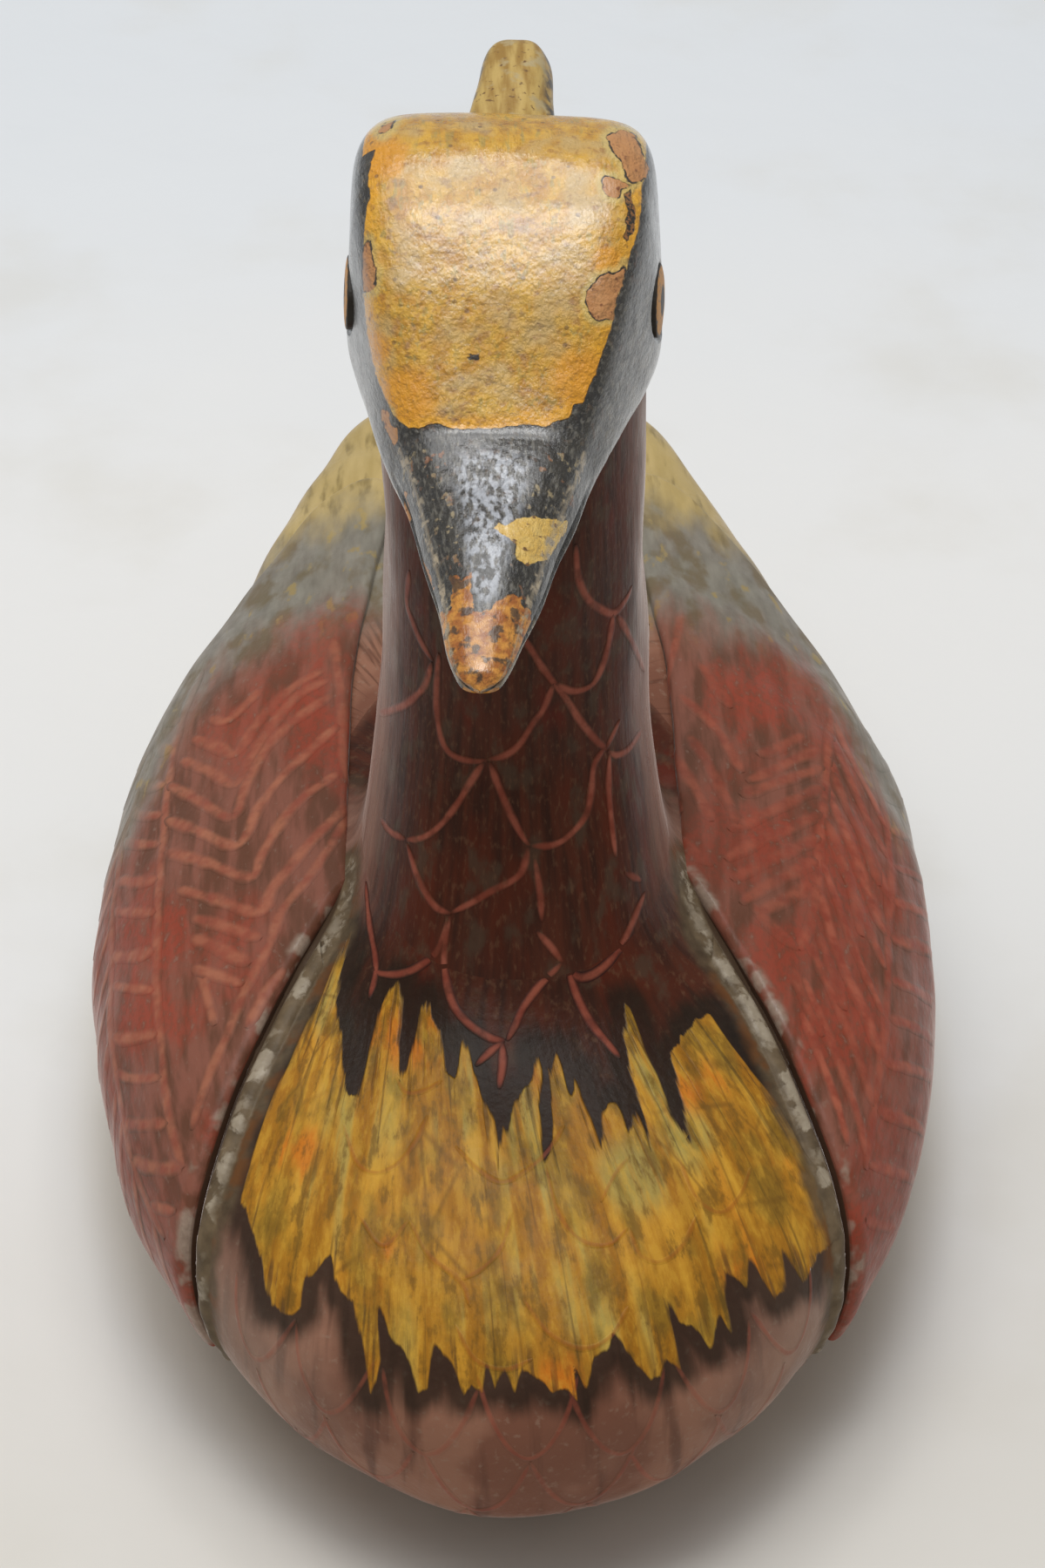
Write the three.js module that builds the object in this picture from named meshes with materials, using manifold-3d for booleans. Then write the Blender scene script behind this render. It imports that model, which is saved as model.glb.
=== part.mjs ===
// Carved and painted wooden duck, built as a woodcarver would: a solid body block, a separate neck
// and head on dowels, a crest let into the crown, two wings let into the flanks, and boss eyes.
// Millimetres, +Z up. The duck faces -Y, so its own left side is +X. The origin is at the centre of
// its flat underside.
import * as THREE from 'three';
import { mergeVertices } from 'three/addons/utils/BufferGeometryUtils.js';
import Module from 'manifold-3d';

// Body block
const BODY_LENGTH = 223;
const BODY_WIDTH = 123;
const BACK_HEIGHT = 62;
const WIDEST_FROM_BREAST = 101;
const BREAST_LEVEL = 29;
const FLANK_LEVEL = 31;
const TAIL_LEVEL = 48;
const TAIL_THICKNESS = 6;
const BELLY_CUT = 2.5;
const BREAST_START = 0.03;

// Neck: its section at the head, at the joint above the body's back, and where its root runs out
// into the breast
const NECK_FROM_BREAST = 98;
const NECK_LENGTH = 74;
const NECK_TOP_WIDTH = 35.4;
const NECK_TOP_DEPTH = 38;
const NECK_JOINT_ABOVE_BACK = 4;
const NECK_JOINT_WIDTH = 44;
const NECK_JOINT_DEPTH = 64;
const NECK_JOINT_LEAN = 9;
const NECK_ROOT_LENGTH = 15;
const NECK_RUNOUT_WIDTH = 60;
const NECK_RUNOUT_DEPTH = 110;
const NECK_RUNOUT_LEAN = 18;
const NECK_JOINT_HEIGHT = BACK_HEIGHT + NECK_JOINT_ABOVE_BACK;
const NECK_TOP_HEIGHT = NECK_JOINT_HEIGHT + NECK_LENGTH;
const NECK_RUNOUT_HEIGHT = NECK_JOINT_HEIGHT - NECK_ROOT_LENGTH;

// Head with its bill
const HEAD_LENGTH = 91;
const HEAD_WIDTH = 42.8;
const HEAD_HEIGHT = 29.5;
const BILL_DROP = 5.2;
const NAPE_BEHIND_AXIS = 26;
const HEAD_TURN = THREE.MathUtils.degToRad(3.5);
const HEAD_SIDE_STEP = 1.2;
const MOUTH_GAPE = 1.2;
const MOUTH_DEPTH = 1.1;
const MOUTH_LENGTH = 40;
const MOUTH_HEIGHT = -1.6;
const BILL_START = 0.1;

// Crest, let into the back of the crown
const CREST_LENGTH = 26;
const CREST_ROOT_WIDTH = 12.2;
const CREST_TIP_WIDTH = 9.2;
const CREST_THICKNESS = 8;
const CREST_RISE = 2;
const CREST_HEIGHT = 22.5;
const CREST_SEAT_DEPTH = 10;

// Boss eyes in round sockets
const EYE_FROM_TIP = 68;
const EYE_LEVEL = 9.5;
const EYE_LENGTH = 11;
const EYE_HEIGHT = 9.4;
const EYE_DOME = 0.9;
const EYE_STEM = 2.5;
const EYE_GROOVE = 0.7;

// Wings: where the leading edge, the tip and the edges lie on the body, behind the breast's front
// and round the section from the flank
const WING_SHOULDER_FROM_BREAST = 85;
const WING_CORNER_FROM_BREAST = 32;
const WING_TIP_FROM_BREAST = 190;
const WING_TIP_ROUND = 6;
const WING_SHOULDER_ANGLE = THREE.MathUtils.degToRad(68);
const WING_CORNER_ANGLE = THREE.MathUtils.degToRad(-19);
const WING_TIP_UPPER_ANGLE = THREE.MathUtils.degToRad(66);
const WING_TIP_LOWER_ANGLE = THREE.MathUtils.degToRad(42);
const WING_THICKNESS = 4.6;
const WING_PROUD = 2;
const WING_EDGE = 2.4;
const WING_EDGE_PROUD = 0.8;
const WING_GROOVE = 1.6;
const SHOULDER_BEAD = 3.4;
const SHOULDER_BEAD_PROUD = 0.9;

// Dowels and pegs
const NECK_DOWEL_DIAMETER = 12;
const NECK_DOWEL_LENGTH = 46;
const HEAD_DOWEL_DIAMETER = 9;
const HEAD_DOWEL_LENGTH = 34;
const WING_PEG_DIAMETER = 5;
const WING_PEG_LENGTH = 14;
const WING_PEG_COVER = 1.6;
const WING_PEG_PLACES = { front: 0.2, rear: 0.66 };

// Clearance between a piece and what it is cut into, and how far a cut runs out above the surface
const CLEARANCE = 0.3;
const CUT_RUNOUT = 6;

// Facets
const BODY_RINGS = 34;
const BODY_SIDES = 40;
const NECK_SIDES = 36;
const NECK_RINGS = 9;
const ROOT_RINGS = 7;
const HEAD_RINGS = 30;
const HEAD_SIDES = 28;
const CREST_SIDES = 20;
const CREST_RINGS = 9;
const WING_ROWS = 15;
const WING_COLUMNS = 9;
const BEAD_RINGS = 12;
const BEAD_SIDES = 8;
const MOUTH_STEPS = 23;
const EYE_RINGS = 6;
const ROUND_SIDES = 20;

// Steps for slopes worked out from differences: along the body, round it, and on the wing's grid
const LENGTH_STEP = 0.5;
const TURN_STEP = 0.01;
const SHARE_STEP = 0.001;

// Outlines as shares of the driving sizes: [place, value]
const BODY_REAR_PLAN = curve([[0, 1], [0.23, 0.962], [0.41, 0.862], [0.63, 0.7], [0.82, 0.535],
  [0.93, 0.42], [0.98, 0.28], [1, 0.05]]);
const BODY_REAR_BACK = curve([[0, 1], [0.28, 0.99], [0.6, 0.72], [0.85, 0.5], [1, 0.2]]);
const BODY_REAR_BELLY = curve([[0, 0], [0.28, 0], [0.48, 0.1], [0.69, 0.36], [0.9, 0.78], [1, 1]]);
const BODY_REAR_FLANK = curve([[0, 0], [0.44, 0.12], [0.77, 0.62], [1, 1]]);
const NECK_WAIST_PLACE = 0.35;
const NECK_WAIST_SWELL = 0.24;
const HEAD_PLAN = curve([[0, 0], [0.012, 0.12], [0.04, 0.195], [0.17, 0.355], [0.36, 0.574],
  [0.55, 0.79], [0.66, 0.915], [0.75, 0.99], [0.84, 1], [0.94, 0.955], [0.985, 0.87], [1, 0.7]]);
const HEAD_CROWN = curve([[0, -0.125], [0.02, -0.065], [0.07, -0.01], [0.23, 0.11], [0.42, 0.29],
  [0.51, 0.45], [0.61, 0.7], [0.72, 0.91], [0.83, 1], [0.93, 0.92], [0.98, 0.76], [1, 0.6]]);
const HEAD_THROAT = curve([[0, 0.8], [0.02, 1], [0.23, 0.95], [0.42, 0.72], [0.55, 0.58], [0.9, 0.58],
  [0.96, 0], [1, -1]]);
const HEAD_EXPONENT = curve([[0, 2.2], [0.25, 2.5], [0.45, 3.8], [0.65, 6], [1, 6]]);
const HEAD_NARROWING = curve([[0, 0.2], [0.2, 0.36], [0.42, 0.22], [0.7, 0.09], [1, 0.08]]);

// Exponents of rounded sections, outlines and ends: 2 is a circle, larger is squarer
const EXPONENT = {
  breastPlan: 2,
  breastOver: 2.3,
  breastUnder: 2.8,
  body: 2.1,
  neck: 2.2,
  crest: 2.4,
  crestEnd: 16,
  wingLead: 3,
  mouthCorner: 6,
};
const CREST_END_SHARE = 0.98;
const BEAD_END_SHARE = 0.01;

const WOOD = {
  body: paint(0x43201b, 0.42),
  neck: paint(0x35191a, 0.38),
  head: paint(0xb98a36, 0.4),
  crest: paint(0xa98443, 0.48),
  eye: paint(0xc09a3a, 0.4),
  wing: paint(0x5e211c, 0.4),
  peg: paint(0xb48a5c, 0.7),
};

const wasm = await Module();
wasm.setup();

const duck = new THREE.Group();
duck.name = 'duck';
const wings = { left: wingSet(1), right: wingSet(-1) };
addBody();
addNeck();
addHead();
addWings();

export default duck;

// Colour of a painted or bare wooden surface
function paint(color, roughness) {
  return new THREE.MeshStandardMaterial({ color, roughness, metalness: 0 });
}

// Smooth curve through [place, value] pairs that never overshoots a value
function curve(knots) {
  const last = knots.length - 1;
  const run = (i) => knots[i + 1][0] - knots[i][0];
  const slope = (i) => (knots[i + 1][1] - knots[i][1]) / run(i);
  const tangents = knots.map((_, i) => {
    if (i === 0) return slope(0);
    if (i === last) return slope(last - 1);
    if (slope(i - 1) * slope(i) <= 0) return 0;
    const before = 2 * run(i) + run(i - 1);
    const after = run(i) + 2 * run(i - 1);
    return (before + after) / (before / slope(i - 1) + after / slope(i));
  });
  return (place) => {
    const x = THREE.MathUtils.clamp(place, knots[0][0], knots[last][0]);
    let i = 0;
    while (i < last - 1 && x > knots[i + 1][0]) i += 1;
    const t = (x - knots[i][0]) / run(i);
    const ease = 3 * t ** 2 - 2 * t ** 3;
    const leave = run(i) * tangents[i] * (t ** 3 - 2 * t ** 2 + t);
    const arrive = run(i) * tangents[i + 1] * (t ** 3 - t ** 2);
    return THREE.MathUtils.lerp(knots[i][1], knots[i + 1][1], ease) + leave + arrive;
  };
}

// Point of a unit rounded square: exponent 2 is a circle, larger is squarer
function roundedSquare(angle, exponent) {
  const power = (value) => Math.sign(value) * Math.abs(value) ** (2 / exponent);
  return { across: power(Math.cos(angle)), up: power(Math.sin(angle)) };
}

// Places from 0 to 1, closer together towards both ends
function easedPlaces(count) {
  return Array.from({ length: count }, (_, i) => 0.5 - 0.5 * Math.cos((Math.PI * i) / (count - 1)));
}

function evenPlaces(count) {
  return Array.from({ length: count }, (_, i) => i / (count - 1));
}

function turns(count) {
  return Array.from({ length: count }, (_, i) => (2 * Math.PI * i) / count);
}

// Closed geometry from points and triangles, with its faces turned outwards
function closedGeometry(points, triangles) {
  const geometry = new THREE.BufferGeometry().setFromPoints(points);
  const volume = triangles.reduce((sum, [a, b, c]) => {
    return sum + points[a].dot(new THREE.Vector3().crossVectors(points[b], points[c])) / 6;
  }, 0);
  geometry.setIndex(triangles.flatMap(([a, b, c]) => (volume < 0 ? [a, c, b] : [a, b, c])));
  geometry.computeVertexNormals();
  return geometry;
}

// Skin over a row of closed rings, with a fan on each end
function loft(rings) {
  const sides = rings[0].length;
  const points = rings.flat();
  const triangles = [];
  for (let r = 0; r < rings.length - 1; r += 1) {
    for (let s = 0; s < sides; s += 1) {
      const a = r * sides + s;
      const b = r * sides + ((s + 1) % sides);
      triangles.push([a, b, b + sides], [a, b + sides, a + sides]);
    }
  }
  const centre = (ring) => ring.reduce((sum, p) => sum.add(p), new THREE.Vector3()).divideScalar(sides);
  points.push(centre(rings[0]), centre(rings.at(-1)));
  const lastRing = (rings.length - 1) * sides;
  for (let s = 0; s < sides; s += 1) {
    const next = (s + 1) % sides;
    triangles.push([points.length - 2, next, s], [points.length - 1, lastRing + s, lastRing + next]);
  }
  return closedGeometry(points, triangles);
}

// Curved plate between an outer and an inner grid of points
function plate(outer, inner) {
  const columns = outer[0].length;
  const points = [...outer.flat(), ...inner.flat()];
  const under = outer.length * columns;
  const at = (r, c) => r * columns + c;
  const triangles = [];
  const quad = (a, b, c, d) => triangles.push([a, b, c], [a, c, d]);
  for (let r = 0; r < outer.length - 1; r += 1) {
    for (let c = 0; c < columns - 1; c += 1) {
      quad(at(r, c), at(r + 1, c), at(r + 1, c + 1), at(r, c + 1));
      quad(under + at(r, c), under + at(r, c + 1), under + at(r + 1, c + 1), under + at(r + 1, c));
    }
  }
  const rim = (a, b) => quad(a, b, under + b, under + a);
  for (let c = 0; c < columns - 1; c += 1) {
    rim(at(0, c), at(0, c + 1));
    rim(at(outer.length - 1, c + 1), at(outer.length - 1, c));
  }
  for (let r = 0; r < outer.length - 1; r += 1) {
    rim(at(r + 1, 0), at(r, 0));
    rim(at(r, columns - 1), at(r + 1, columns - 1));
  }
  return closedGeometry(points, triangles);
}

// Round bar between two points
function bar(radius, from, to) {
  const geometry = new THREE.CylinderGeometry(radius, radius, from.distanceTo(to), ROUND_SIDES);
  const direction = to.clone().sub(from).normalize();
  const lengthways = new THREE.Vector3(0, 1, 0);
  geometry.applyQuaternion(new THREE.Quaternion().setFromUnitVectors(lengthways, direction));
  const middle = from.clone().add(to).multiplyScalar(0.5);
  return geometry.translate(middle.x, middle.y, middle.z);
}

function solid(geometry) {
  const bare = geometry.clone();
  bare.deleteAttribute('normal');
  bare.deleteAttribute('uv');
  const merged = mergeVertices(bare);
  return new wasm.Manifold(new wasm.Mesh({
    numProp: 3,
    vertProperties: Float32Array.from(merged.attributes.position.array),
    triVerts: Uint32Array.from(merged.index.array),
  }));
}

function fromSolid(result) {
  const mesh = result.getMesh();
  const geometry = new THREE.BufferGeometry();
  geometry.setAttribute('position', new THREE.BufferAttribute(mesh.vertProperties, 3));
  geometry.setIndex(new THREE.BufferAttribute(mesh.triVerts, 1));
  geometry.computeVertexNormals();
  return geometry;
}

function place(parent, name, geometry, material) {
  const mesh = new THREE.Mesh(geometry, material);
  mesh.name = name;
  parent.add(mesh);
}

// Half-width, back, belly and flank heights of the body at a distance behind the breast's front
function bodySection(fromBreast) {
  if (fromBreast < WIDEST_FROM_BREAST) {
    const ahead = 1 - fromBreast / WIDEST_FROM_BREAST;
    const swell = (exponent) => (1 - ahead ** exponent) ** (1 / exponent);
    return {
      half: (BODY_WIDTH / 2) * swell(EXPONENT.breastPlan),
      back: BREAST_LEVEL + (BACK_HEIGHT - BREAST_LEVEL) * swell(EXPONENT.breastOver),
      belly: BREAST_LEVEL - (BREAST_LEVEL + BELLY_CUT) * swell(EXPONENT.breastUnder),
      flank: FLANK_LEVEL + (BREAST_LEVEL - FLANK_LEVEL) * ahead,
    };
  }
  const behind = (fromBreast - WIDEST_FROM_BREAST) / (BODY_LENGTH - WIDEST_FROM_BREAST);
  const tailTop = TAIL_LEVEL + TAIL_THICKNESS / 2;
  const tailUnder = TAIL_LEVEL - TAIL_THICKNESS / 2;
  return {
    half: (BODY_WIDTH / 2) * BODY_REAR_PLAN(behind),
    back: tailTop + (BACK_HEIGHT - tailTop) * BODY_REAR_BACK(behind),
    belly: -BELLY_CUT + (tailUnder + BELLY_CUT) * BODY_REAR_BELLY(behind),
    flank: FLANK_LEVEL + (TAIL_LEVEL - FLANK_LEVEL) * BODY_REAR_FLANK(behind),
  };
}

function breastToY(fromBreast) {
  return fromBreast - BODY_LENGTH / 2;
}

// Point on the body's skin: the angle is 0 at the left flank and a right angle at the back
function skin(fromBreast, angle) {
  const { half, back, belly, flank } = bodySection(fromBreast);
  const { across, up } = roundedSquare(angle, EXPONENT.body);
  const rise = up > 0 ? back - flank : flank - belly;
  return new THREE.Vector3(half * across, breastToY(fromBreast), flank + rise * up);
}

function skinNormal(fromBreast, angle) {
  const along = skin(fromBreast + LENGTH_STEP, angle).sub(skin(fromBreast - LENGTH_STEP, angle));
  const around = skin(fromBreast, angle + TURN_STEP).sub(skin(fromBreast, angle - TURN_STEP));
  return along.cross(around).normalize();
}

function overSkin(fromBreast, angle, lift) {
  return skin(fromBreast, angle).add(skinNormal(fromBreast, angle).multiplyScalar(lift));
}

function mirrored(point, side) {
  return new THREE.Vector3(side * point.x, point.y, point.z);
}

// Body block with the flared root that carries the neck, a bead ahead of each wing, and the
// pockets, grooves and holes for what is let into it
function addBody() {
  const rings = easedPlaces(BODY_RINGS).slice(1).map((share) => {
    return turns(BODY_SIDES).map((angle) => skin(share * BODY_LENGTH, angle));
  });
  rings.unshift(turns(BODY_SIDES).map((angle) => skin(BREAST_START, angle)));
  const rootLevels = evenPlaces(ROOT_RINGS).map((share) => {
    return NECK_RUNOUT_HEIGHT + share * (NECK_JOINT_HEIGHT - NECK_RUNOUT_HEIGHT);
  });
  let body = solid(loft(rings)).add(solid(loft(rootLevels.map(neckRing))));
  for (const wing of Object.values(wings)) {
    body = body.subtract(solid(wing.pocket)).add(solid(wing.bead));
  }
  for (const wing of Object.values(wings)) {
    for (const peg of Object.values(wing.pegs)) {
      body = body.subtract(solid(pegHole(peg)));
    }
  }
  const floor = new THREE.BoxGeometry(2 * BODY_WIDTH, 2 * BODY_LENGTH, 2 * BACK_HEIGHT);
  floor.translate(0, 0, -BACK_HEIGHT);
  body = body.subtract(solid(floor)).subtract(solid(dowelHole(neckDowel())));
  place(duck, 'body', fromSolid(body), WOOD.body);
}

// Width, depth and middle of the neck at a height; below the joint it flares into the breast
function neckSection(height) {
  const waist = NECK_JOINT_HEIGHT + NECK_WAIST_PLACE * (NECK_TOP_HEIGHT - NECK_JOINT_HEIGHT);
  const between = (atRunout, atJoint, atTop) => curve([
    [NECK_RUNOUT_HEIGHT, atRunout],
    [NECK_JOINT_HEIGHT, atJoint],
    [waist, atTop + NECK_WAIST_SWELL * (atJoint - atTop)],
    [NECK_TOP_HEIGHT, atTop],
  ])(height);
  return {
    half: between(NECK_RUNOUT_WIDTH, NECK_JOINT_WIDTH, NECK_TOP_WIDTH) / 2,
    depth: between(NECK_RUNOUT_DEPTH, NECK_JOINT_DEPTH, NECK_TOP_DEPTH) / 2,
    middle: breastToY(NECK_FROM_BREAST) - between(NECK_RUNOUT_LEAN, NECK_JOINT_LEAN, 0),
  };
}

function neckRing(height) {
  const { half, depth, middle } = neckSection(height);
  return turns(NECK_SIDES).map((angle) => {
    const { across, up } = roundedSquare(angle, EXPONENT.neck);
    return new THREE.Vector3(half * across, middle + depth * up, height);
  });
}

function dowel(diameter, length, y, height) {
  return { radius: diameter / 2, length, centre: new THREE.Vector3(0, y, height) };
}

function neckDowel() {
  const { middle } = neckSection(NECK_JOINT_HEIGHT);
  return dowel(NECK_DOWEL_DIAMETER, NECK_DOWEL_LENGTH, middle, NECK_JOINT_HEIGHT);
}

function headDowel() {
  const { middle } = neckSection(NECK_TOP_HEIGHT);
  return dowel(HEAD_DOWEL_DIAMETER, HEAD_DOWEL_LENGTH, middle, NECK_TOP_HEIGHT);
}

function dowelHole({ radius, length, centre }) {
  const half = new THREE.Vector3(0, 0, length / 2 + CLEARANCE);
  return bar(radius + CLEARANCE, centre.clone().sub(half), centre.clone().add(half));
}

function placeDowel(name, { radius, length, centre }) {
  const half = new THREE.Vector3(0, 0, length / 2);
  place(duck, name, bar(radius, centre.clone().sub(half), centre.clone().add(half)), WOOD.peg);
}

function addNeck() {
  const levels = evenPlaces(NECK_RINGS).map((share) => {
    return NECK_JOINT_HEIGHT + share * (NECK_TOP_HEIGHT - NECK_JOINT_HEIGHT);
  });
  const neck = solid(loft(levels.map(neckRing)))
    .subtract(solid(dowelHole(neckDowel())))
    .subtract(solid(dowelHole(headDowel())));
  place(duck, 'neck', fromSolid(neck), WOOD.neck);
  placeDowel('neck_dowel', neckDowel());
  placeDowel('head_dowel', headDowel());
}

// The head's section at a distance behind the bill's tip, in the head's own frame: its origin is
// on the neck's axis, at the seat
function headSection(fromTip) {
  const share = fromTip / HEAD_LENGTH;
  const crown = HEAD_HEIGHT * HEAD_CROWN(share);
  const throat = -BILL_DROP * HEAD_THROAT(share);
  return {
    half: (HEAD_WIDTH / 2) * HEAD_PLAN(share),
    middle: (crown + throat) / 2,
    rise: (crown - throat) / 2,
    exponent: HEAD_EXPONENT(share),
    narrowing: HEAD_NARROWING(share),
    y: fromTip - HEAD_LENGTH + NAPE_BEHIND_AXIS,
  };
}

function onHead({ half, middle, rise, narrowing, y }, across, up) {
  return new THREE.Vector3(half * (1 - narrowing * (0.5 + 0.5 * up)) * across, y, middle + rise * up);
}

function headRing(fromTip) {
  const section = headSection(fromTip);
  return turns(HEAD_SIDES).map((angle) => {
    const { across, up } = roundedSquare(angle, section.exponent);
    return onHead(section, across, up);
  });
}

// Point on the left side of the head at a height above the seat
function headSide(fromTip, height) {
  const section = headSection(fromTip);
  const up = (height - section.middle) / section.rise;
  const across = (1 - Math.abs(up) ** section.exponent) ** (1 / section.exponent);
  return onHead(section, across, up);
}

// Head and bill with a flat seat on the neck, the mouth line, and the sockets of crest and eyes
function addHead() {
  const headGroup = new THREE.Group();
  const seat = headDowel().centre;
  headGroup.position.set(-HEAD_SIDE_STEP, seat.y, seat.z + CLEARANCE);
  headGroup.rotation.z = -HEAD_TURN;
  duck.add(headGroup);

  const rings = easedPlaces(HEAD_RINGS).slice(1, -1).map((share) => headRing(share * HEAD_LENGTH));
  const underSeat = new THREE.BoxGeometry(2 * HEAD_WIDTH, HEAD_LENGTH, 2 * HEAD_HEIGHT);
  underSeat.translate(0, HEAD_LENGTH / 2 - NECK_TOP_DEPTH / 2 - 2 * CLEARANCE, -HEAD_HEIGHT);
  const dowelX = HEAD_SIDE_STEP * Math.cos(HEAD_TURN);
  const dowelY = HEAD_SIDE_STEP * Math.sin(HEAD_TURN);
  const seatHole = bar(
    HEAD_DOWEL_DIAMETER / 2 + CLEARANCE,
    new THREE.Vector3(dowelX, dowelY, -HEAD_HEIGHT),
    new THREE.Vector3(dowelX, dowelY, HEAD_DOWEL_LENGTH / 2),
  );
  const eyes = { left: eye(1), right: eye(-1) };
  const head = solid(loft(rings))
    .subtract(solid(underSeat))
    .subtract(solid(seatHole))
    .subtract(solid(mouthCut()))
    .subtract(solid(crestGeometry(CLEARANCE)))
    .subtract(solid(eyes.left.socket))
    .subtract(solid(eyes.right.socket));
  place(headGroup, 'head', fromSolid(head), WOOD.head);
  place(headGroup, 'crest', crestGeometry(0), WOOD.crest);
  place(headGroup, 'left_eye', eyes.left.boss, WOOD.eye);
  place(headGroup, 'right_eye', eyes.right.boss, WOOD.eye);
}

// Wedge along the side of the bill, from the left corner of the mouth round the tip to the right
function mouthCut() {
  const route = evenPlaces(MOUTH_STEPS).map((share) => {
    const swing = 1 - 2 * share;
    const fromTip = Math.max(MOUTH_LENGTH * swing ** 2, BILL_START);
    const edge = headSide(fromTip, headSection(fromTip).middle + MOUTH_HEIGHT * Math.abs(swing));
    edge.x *= Math.sign(swing) * Math.min(1, Math.abs(swing) * MOUTH_STEPS);
    return { edge, depth: MOUTH_DEPTH * (1 - swing ** EXPONENT.mouthCorner) };
  });
  const up = new THREE.Vector3(0, 0, 1);
  return loft(route.map(({ edge, depth }, i) => {
    const before = route[Math.max(i - 1, 0)].edge;
    const after = route[Math.min(i + 1, route.length - 1)].edge;
    const outward = up.clone().cross(after.clone().sub(before)).normalize();
    const mouth = (out, rise) => edge.clone().addScaledVector(outward, out).addScaledVector(up, rise);
    return [mouth(-depth, 0), mouth(MOUTH_DEPTH, -MOUTH_GAPE), mouth(MOUTH_DEPTH, MOUTH_GAPE)];
  }));
}

// Crest with its root in the crown, or with a clearance round it, the socket that takes it
function crestGeometry(clearance) {
  const root = NAPE_BEHIND_AXIS - CREST_SEAT_DEPTH;
  const rings = evenPlaces(CREST_RINGS).map((step) => {
    const share = Math.sin((step * Math.PI) / 2);
    const rounding = Math.sqrt(1 - CREST_END_SHARE * share ** EXPONENT.crestEnd);
    const width = CREST_ROOT_WIDTH + (CREST_TIP_WIDTH - CREST_ROOT_WIDTH) * share;
    return turns(CREST_SIDES).map((angle) => {
      const { across, up } = roundedSquare(angle, EXPONENT.crest);
      return new THREE.Vector3(
        ((width / 2) * rounding + clearance) * across,
        root - clearance + share * (CREST_LENGTH + 2 * clearance),
        CREST_HEIGHT + CREST_RISE * share + ((CREST_THICKNESS / 2) * rounding + clearance) * up,
      );
    });
  });
  return loft(rings);
}

// Oval boss eye with its stem, and the grooved socket that takes it
function eye(side) {
  const near = (back, up) => headSide(EYE_FROM_TIP + back * LENGTH_STEP, EYE_LEVEL + up * LENGTH_STEP);
  const along = near(1, 0).sub(near(-1, 0)).normalize();
  const outward = along.clone().cross(near(0, 1).sub(near(0, -1))).normalize();
  const frame = new THREE.Matrix4()
    .makeBasis(along, outward, along.clone().cross(outward))
    .setPosition(near(0, 0));
  const turned = (profile) => {
    const points = profile.map(([radius, height]) => new THREE.Vector2(radius, height));
    const geometry = new THREE.LatheGeometry(points, ROUND_SIDES);
    geometry.scale(1, 1, EYE_HEIGHT / EYE_LENGTH).applyMatrix4(frame);
    return onSide(geometry, side);
  };
  const radius = EYE_LENGTH / 2;
  const dome = evenPlaces(EYE_RINGS).map((share) => {
    const swing = (share * Math.PI) / 2;
    return [share === 1 ? 0 : radius * Math.cos(swing), EYE_DOME * Math.sin(swing)];
  });
  const hole = radius + CLEARANCE;
  const groove = radius + EYE_GROOVE;
  return {
    boss: turned([[0, -EYE_STEM], [radius, -EYE_STEM], ...dome]),
    socket: turned([[0, -EYE_STEM - CLEARANCE], [hole, -EYE_STEM - CLEARANCE], [hole, -EYE_GROOVE],
      [groove, 0], [groove, CUT_RUNOUT], [0, CUT_RUNOUT]]),
  };
}

// Geometry for the duck's left side (1), or its mirror image for the right side (-1)
function onSide(geometry, side) {
  if (side > 0) return geometry;
  const mirror = geometry.clone().scale(-1, 1, 1);
  const corners = mirror.index.array;
  for (let i = 0; i < corners.length; i += 3) {
    [corners[i + 1], corners[i + 2]] = [corners[i + 2], corners[i + 1]];
  }
  return mirror;
}

// Place on the wing, from its leading edge (along 0) to its tip (along 1) and from its upper edge
// (down 0) to its lower edge (down 1)
function wingPlace(along, down) {
  const mix = THREE.MathUtils.lerp;
  const lead = mix(WING_CORNER_FROM_BREAST, WING_SHOULDER_FROM_BREAST, (1 - down) ** EXPONENT.wingLead);
  const end = WING_TIP_FROM_BREAST - WING_TIP_ROUND * (2 * down - 1) ** 2;
  const upper = mix(WING_SHOULDER_ANGLE, WING_TIP_UPPER_ANGLE, along);
  const lower = mix(WING_CORNER_ANGLE, WING_TIP_LOWER_ANGLE, along ** 2);
  return { fromBreast: mix(lead, end, along), angle: mix(upper, lower, down) };
}

// Place that lies a distance outside the edge where the wing grid ends, at right angles to it
function beyondEdge(along, down, distance, acrossLead) {
  const here = wingPlace(along, down);
  const turned = skin(here.fromBreast, here.angle + TURN_STEP);
  const girth = turned.distanceTo(skin(here.fromBreast, here.angle)) / TURN_STEP;
  const toFlat = (place) => {
    return new THREE.Vector2(place.fromBreast - here.fromBreast, (place.angle - here.angle) * girth);
  };
  const edgeway = acrossLead
    ? toFlat(wingPlace(along, down + SHARE_STEP)).sub(toFlat(wingPlace(along, down - SHARE_STEP)))
    : toFlat(wingPlace(along + SHARE_STEP, down)).sub(toFlat(wingPlace(along - SHARE_STEP, down)));
  const inward = acrossLead
    ? toFlat(wingPlace(along + (along < 0.5 ? SHARE_STEP : -SHARE_STEP), down))
    : toFlat(wingPlace(along, down + (down < 0.5 ? SHARE_STEP : -SHARE_STEP)));
  const outward = new THREE.Vector2(-edgeway.y, edgeway.x).normalize();
  if (outward.dot(inward) > 0) outward.negate();
  return {
    fromBreast: here.fromBreast + outward.x * distance,
    angle: here.angle + (outward.y * distance) / girth,
  };
}

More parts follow.
